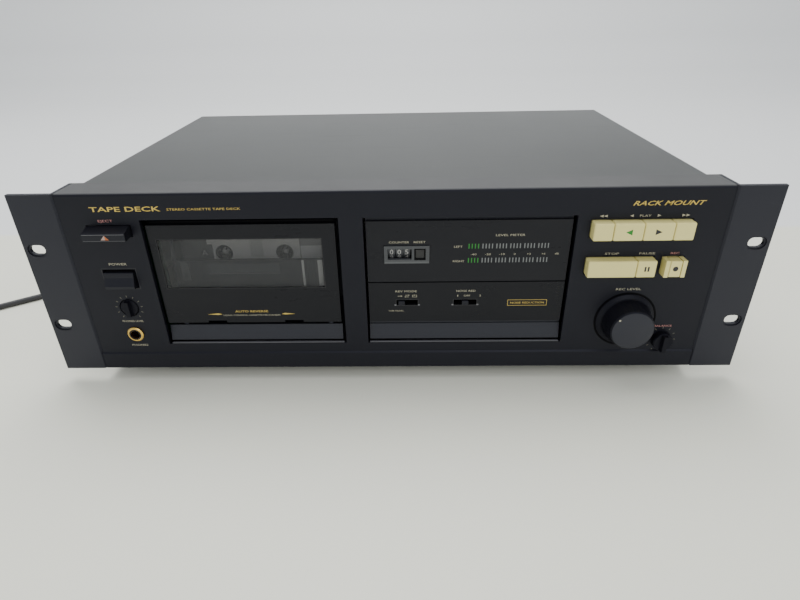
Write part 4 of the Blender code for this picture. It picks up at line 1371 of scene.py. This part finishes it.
def coil_points(pitch, per_turn=20):
    """In along the table from the outside, up at the middle, and out again on top."""
    outer, inner, start = 36.4, 36.4 - 3 * pitch, 126.3
    rise_end, finish = start + 1080 + 60, 2400.0
    points = []
    for i in range(int((finish - start) / 360 * per_turn) + 1):
        turn = start + i * 360 / per_turn
        below = outer - pitch * min(turn - start, 1080) / 360
        above = inner + pitch * max(turn - rise_end, 0) / 360
        radius = below if turn < start + 1080 else above
        radius += 2.17 * eased((turn - finish + 90) / 90)
        height = -7.3 + pitch * eased((turn - start - 1080) / 60)
        angle = math.radians(turn)
        across, back = COIL_MIDDLE[0] + radius * math.cos(angle), COIL_MIDDLE[1] + radius * math.sin(angle)
        points.append((across, back, height))
    return points


def lead_curve():
    points = LEAD_ROUTE + coil_points(sizes().lead_diameter / MM) + [(-399.5, 4.45, -2.6), LEAD_END]
    curve = bpy.data.curves.new("mains_lead", "CURVE")
    curve.dimensions = "3D"
    spline = curve.splines.new("BEZIER")
    spline.bezier_points.add(len(points) - 1)
    for bezier, point in zip(spline.bezier_points, points):
        bezier.co = PLACE @ Vector(point)
        bezier.handle_left_type = bezier.handle_right_type = "AUTO"
    curve.bevel_depth = sizes().lead_diameter / 2
    curve.bevel_resolution = 4
    curve.resolution_u = 4
    curve.use_fill_caps = True
    return curve


@made_once
def plug_vinyl():
    """Black vinyl up to the plug's face, and nickel past it, where the pins are."""
    finish = Finish("plug_vinyl", (0.016, 0.016, 0.018), 0.42)
    end = PLACE @ Vector(LEAD_END)
    heading = (math.cos(PLUG_TURN), math.sin(PLUG_TURN))
    across = finish.node("ShaderNodeSeparateXYZ", None, {"Vector": finish.place}, "X")
    back = finish.node("ShaderNodeSeparateXYZ", None, {"Vector": finish.place}, "Y")
    along = (across - end.x) * heading[0] + (back - end.y) * heading[1]
    pins = along.steep(PLUG_FACE - 0.0001, PLUG_FACE + 0.0001)
    wear = finish.noise(300, 4, 0.6)
    base = finish.tones(0.8, 1.6, wear)
    metal = finish.blend((0.50, 0.48, 0.45, 1), (0.70, 0.68, 0.64, 1), wear)
    finish.feed("Base Color", finish.blend(base, metal, pins))
    finish.feed("Metallic", pins)
    finish.feed("Roughness", 0.40 + wear * 0.14 - pins * 0.20)
    finish.relief(finish.noise(900, 3), 0.10, 0.00008)
    return finish.material


class DECK_OT_mains_lead(bpy.types.Operator):
    """Lay the mains lead in its coil, with its plug and strain relief"""

    bl_idname = "deck.mains_lead"
    bl_label = "Mains lead"

    def execute(self, context):
        curve = lead_curve()
        curve.materials.append(lead_sheath())
        lead = bpy.data.objects.new("mains_lead", curve)
        context.scene.collection.objects.link(lead)
        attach(lead, "deck")
        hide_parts("cord_lead", "cord_coil")
        dress(rubber(), "cord_strain_relief")
        dress(plug_vinyl(), "cord_plug")
        return {"FINISHED"}


# ---------------------------------------------------------------- stage


def softbox(name, place, target, size, power):
    light = bpy.data.lights.new(name, "AREA")
    light.shape = "RECTANGLE"
    light.size, light.size_y = size
    light.energy = power
    holder = bpy.data.objects.new(name, light)
    aim = Vector(target) - Vector(place)
    holder.matrix_world = Matrix.Translation(place) @ aim.to_track_quat("-Z", "Y").to_matrix().to_4x4()
    bpy.context.scene.collection.objects.link(holder)


def table_finish():
    """Pale laminate, greyer past the table's back edge."""
    finish = Finish("table_pale", bpy.context.scene.deck_stage.table, 0.5)
    split = finish.node("ShaderNodeSeparateXYZ", None, {"Vector": finish.place}, "Y")
    clouds = finish.noise(5, 4, 0.6)
    base = finish.tones(0.97, 1.03, clouds)
    past = split.steep(0.155, 0.165)
    base = finish.blend(base, (0.84, 0.85, 0.84, 1), past)
    return finish.varied(base, 0.44 + clouds * 0.12)


def add_backdrop():
    mesh = bmesh.new()
    rows = [(-3.0, 0.0), (1.2, 0.0), (1.45, 0.03), (1.62, 0.12), (1.7, 0.3), (1.7, 3.0)]
    pairs = [[mesh.verts.new((x, y, z)) for x in (-3.5, 3.5)] for y, z in rows]
    for (a, b), (c, d) in zip(pairs, pairs[1:]):
        mesh.faces.new([a, b, d, c])
    data = bpy.data.meshes.new("backdrop")
    mesh.to_mesh(data)
    mesh.free()
    data.shade_smooth()
    data.materials.append(table_finish())
    floor = bpy.data.objects.new(bpy.context.scene.deck_stage.backdrop, data)
    bpy.context.scene.collection.objects.link(floor)


def add_camera():
    view = bpy.data.cameras.new("view")
    view.lens = 24.356
    view.sensor_width = 36.0
    view.shift_x, view.shift_y = 0.0076, -0.0145
    view.clip_start = 0.02
    holder = bpy.data.objects.new("view", view)
    ahead = Vector((-0.02637, 0.88374, -0.46723)).normalized()
    up = Vector((0.00856, 0.46757, 0.88391)).normalized()
    side = ahead.cross(up).normalized()
    up = side.cross(ahead)
    turn = Matrix((side, up, -ahead)).transposed().to_4x4()
    holder.matrix_world = Matrix.Translation((0.01113, -0.45085, 0.24441)) @ turn
    bpy.context.scene.collection.objects.link(holder)
    bpy.context.scene.camera = holder


class DECK_OT_stage(bpy.types.Operator):
    """Set up the table, the soft studio light and the camera"""

    bl_idname = "deck.stage"
    bl_label = "Stage"

    def execute(self, context):
        add_backdrop()
        world = bpy.data.worlds.new("studio")
        world.use_nodes = True
        world.node_tree.nodes["Background"].inputs["Color"].default_value = (0.92, 0.95, 1.0, 1)
        world.node_tree.nodes["Background"].inputs["Strength"].default_value = 0.78
        context.scene.world = world
        stage = context.scene.deck_stage
        softbox("overhead", (-0.2, 0.5, 1.7), (0, 0, 0.05), (1.8, 1.4), stage.overhead)
        softbox("front", (0.5, -1.7, 1.1), (0, 0, 0.05), (1.4, 1.0), stage.front)
        add_camera()
        return {"FINISHED"}


# ---------------------------------------------------------------- add-on

STEPS = (
    DECK_OT_stage,
    DECK_OT_mains_lead,
    DECK_OT_cabinet,
    DECK_OT_bay_trim,
    DECK_OT_insides,
    DECK_OT_name_print,
    DECK_OT_eject_and_power,
    DECK_OT_phones,
    DECK_OT_door,
    DECK_OT_cassette,
    DECK_OT_carrier_trim,
    DECK_OT_meters,
    DECK_OT_counter,
    DECK_OT_switches,
    DECK_OT_keys,
    DECK_OT_level_knobs,
    DECK_OT_back,
)


class DECK_PT_sidebar(bpy.types.Panel):
    """Lists the deck's pieces"""

    bl_label = "Cassette deck"
    bl_idname = "DECK_PT_sidebar"
    bl_space_type = "VIEW_3D"
    bl_region_type = "UI"
    bl_category = "Deck"

    def draw(self, context):
        column = self.layout.column(align=True)
        for step in STEPS:
            column.operator(step.bl_idname)
        for group in (context.scene.deck_finishes, context.scene.deck_sizes, context.scene.deck_stage):
            box = self.layout.box()
            for label in group.__annotations__:
                box.prop(group, label)


GROUPS = (("deck_finishes", DeckFinishes), ("deck_sizes", DeckSizes), ("deck_stage", DeckStage))


def register():
    for name, group in GROUPS:
        bpy.utils.register_class(group)
        setattr(bpy.types.Scene, name, PointerProperty(type=group))
    for made in (*STEPS, DECK_PT_sidebar):
        bpy.utils.register_class(made)


def unregister():
    for made in (DECK_PT_sidebar, *reversed(STEPS)):
        bpy.utils.unregister_class(made)
    for name, group in reversed(GROUPS):
        delattr(bpy.types.Scene, name)
        bpy.utils.unregister_class(group)


def main():
    register()
    for step in STEPS:
        group, name = step.bl_idname.split(".")
        getattr(getattr(bpy.ops, group), name)()


if __name__ == "__main__":
    main()
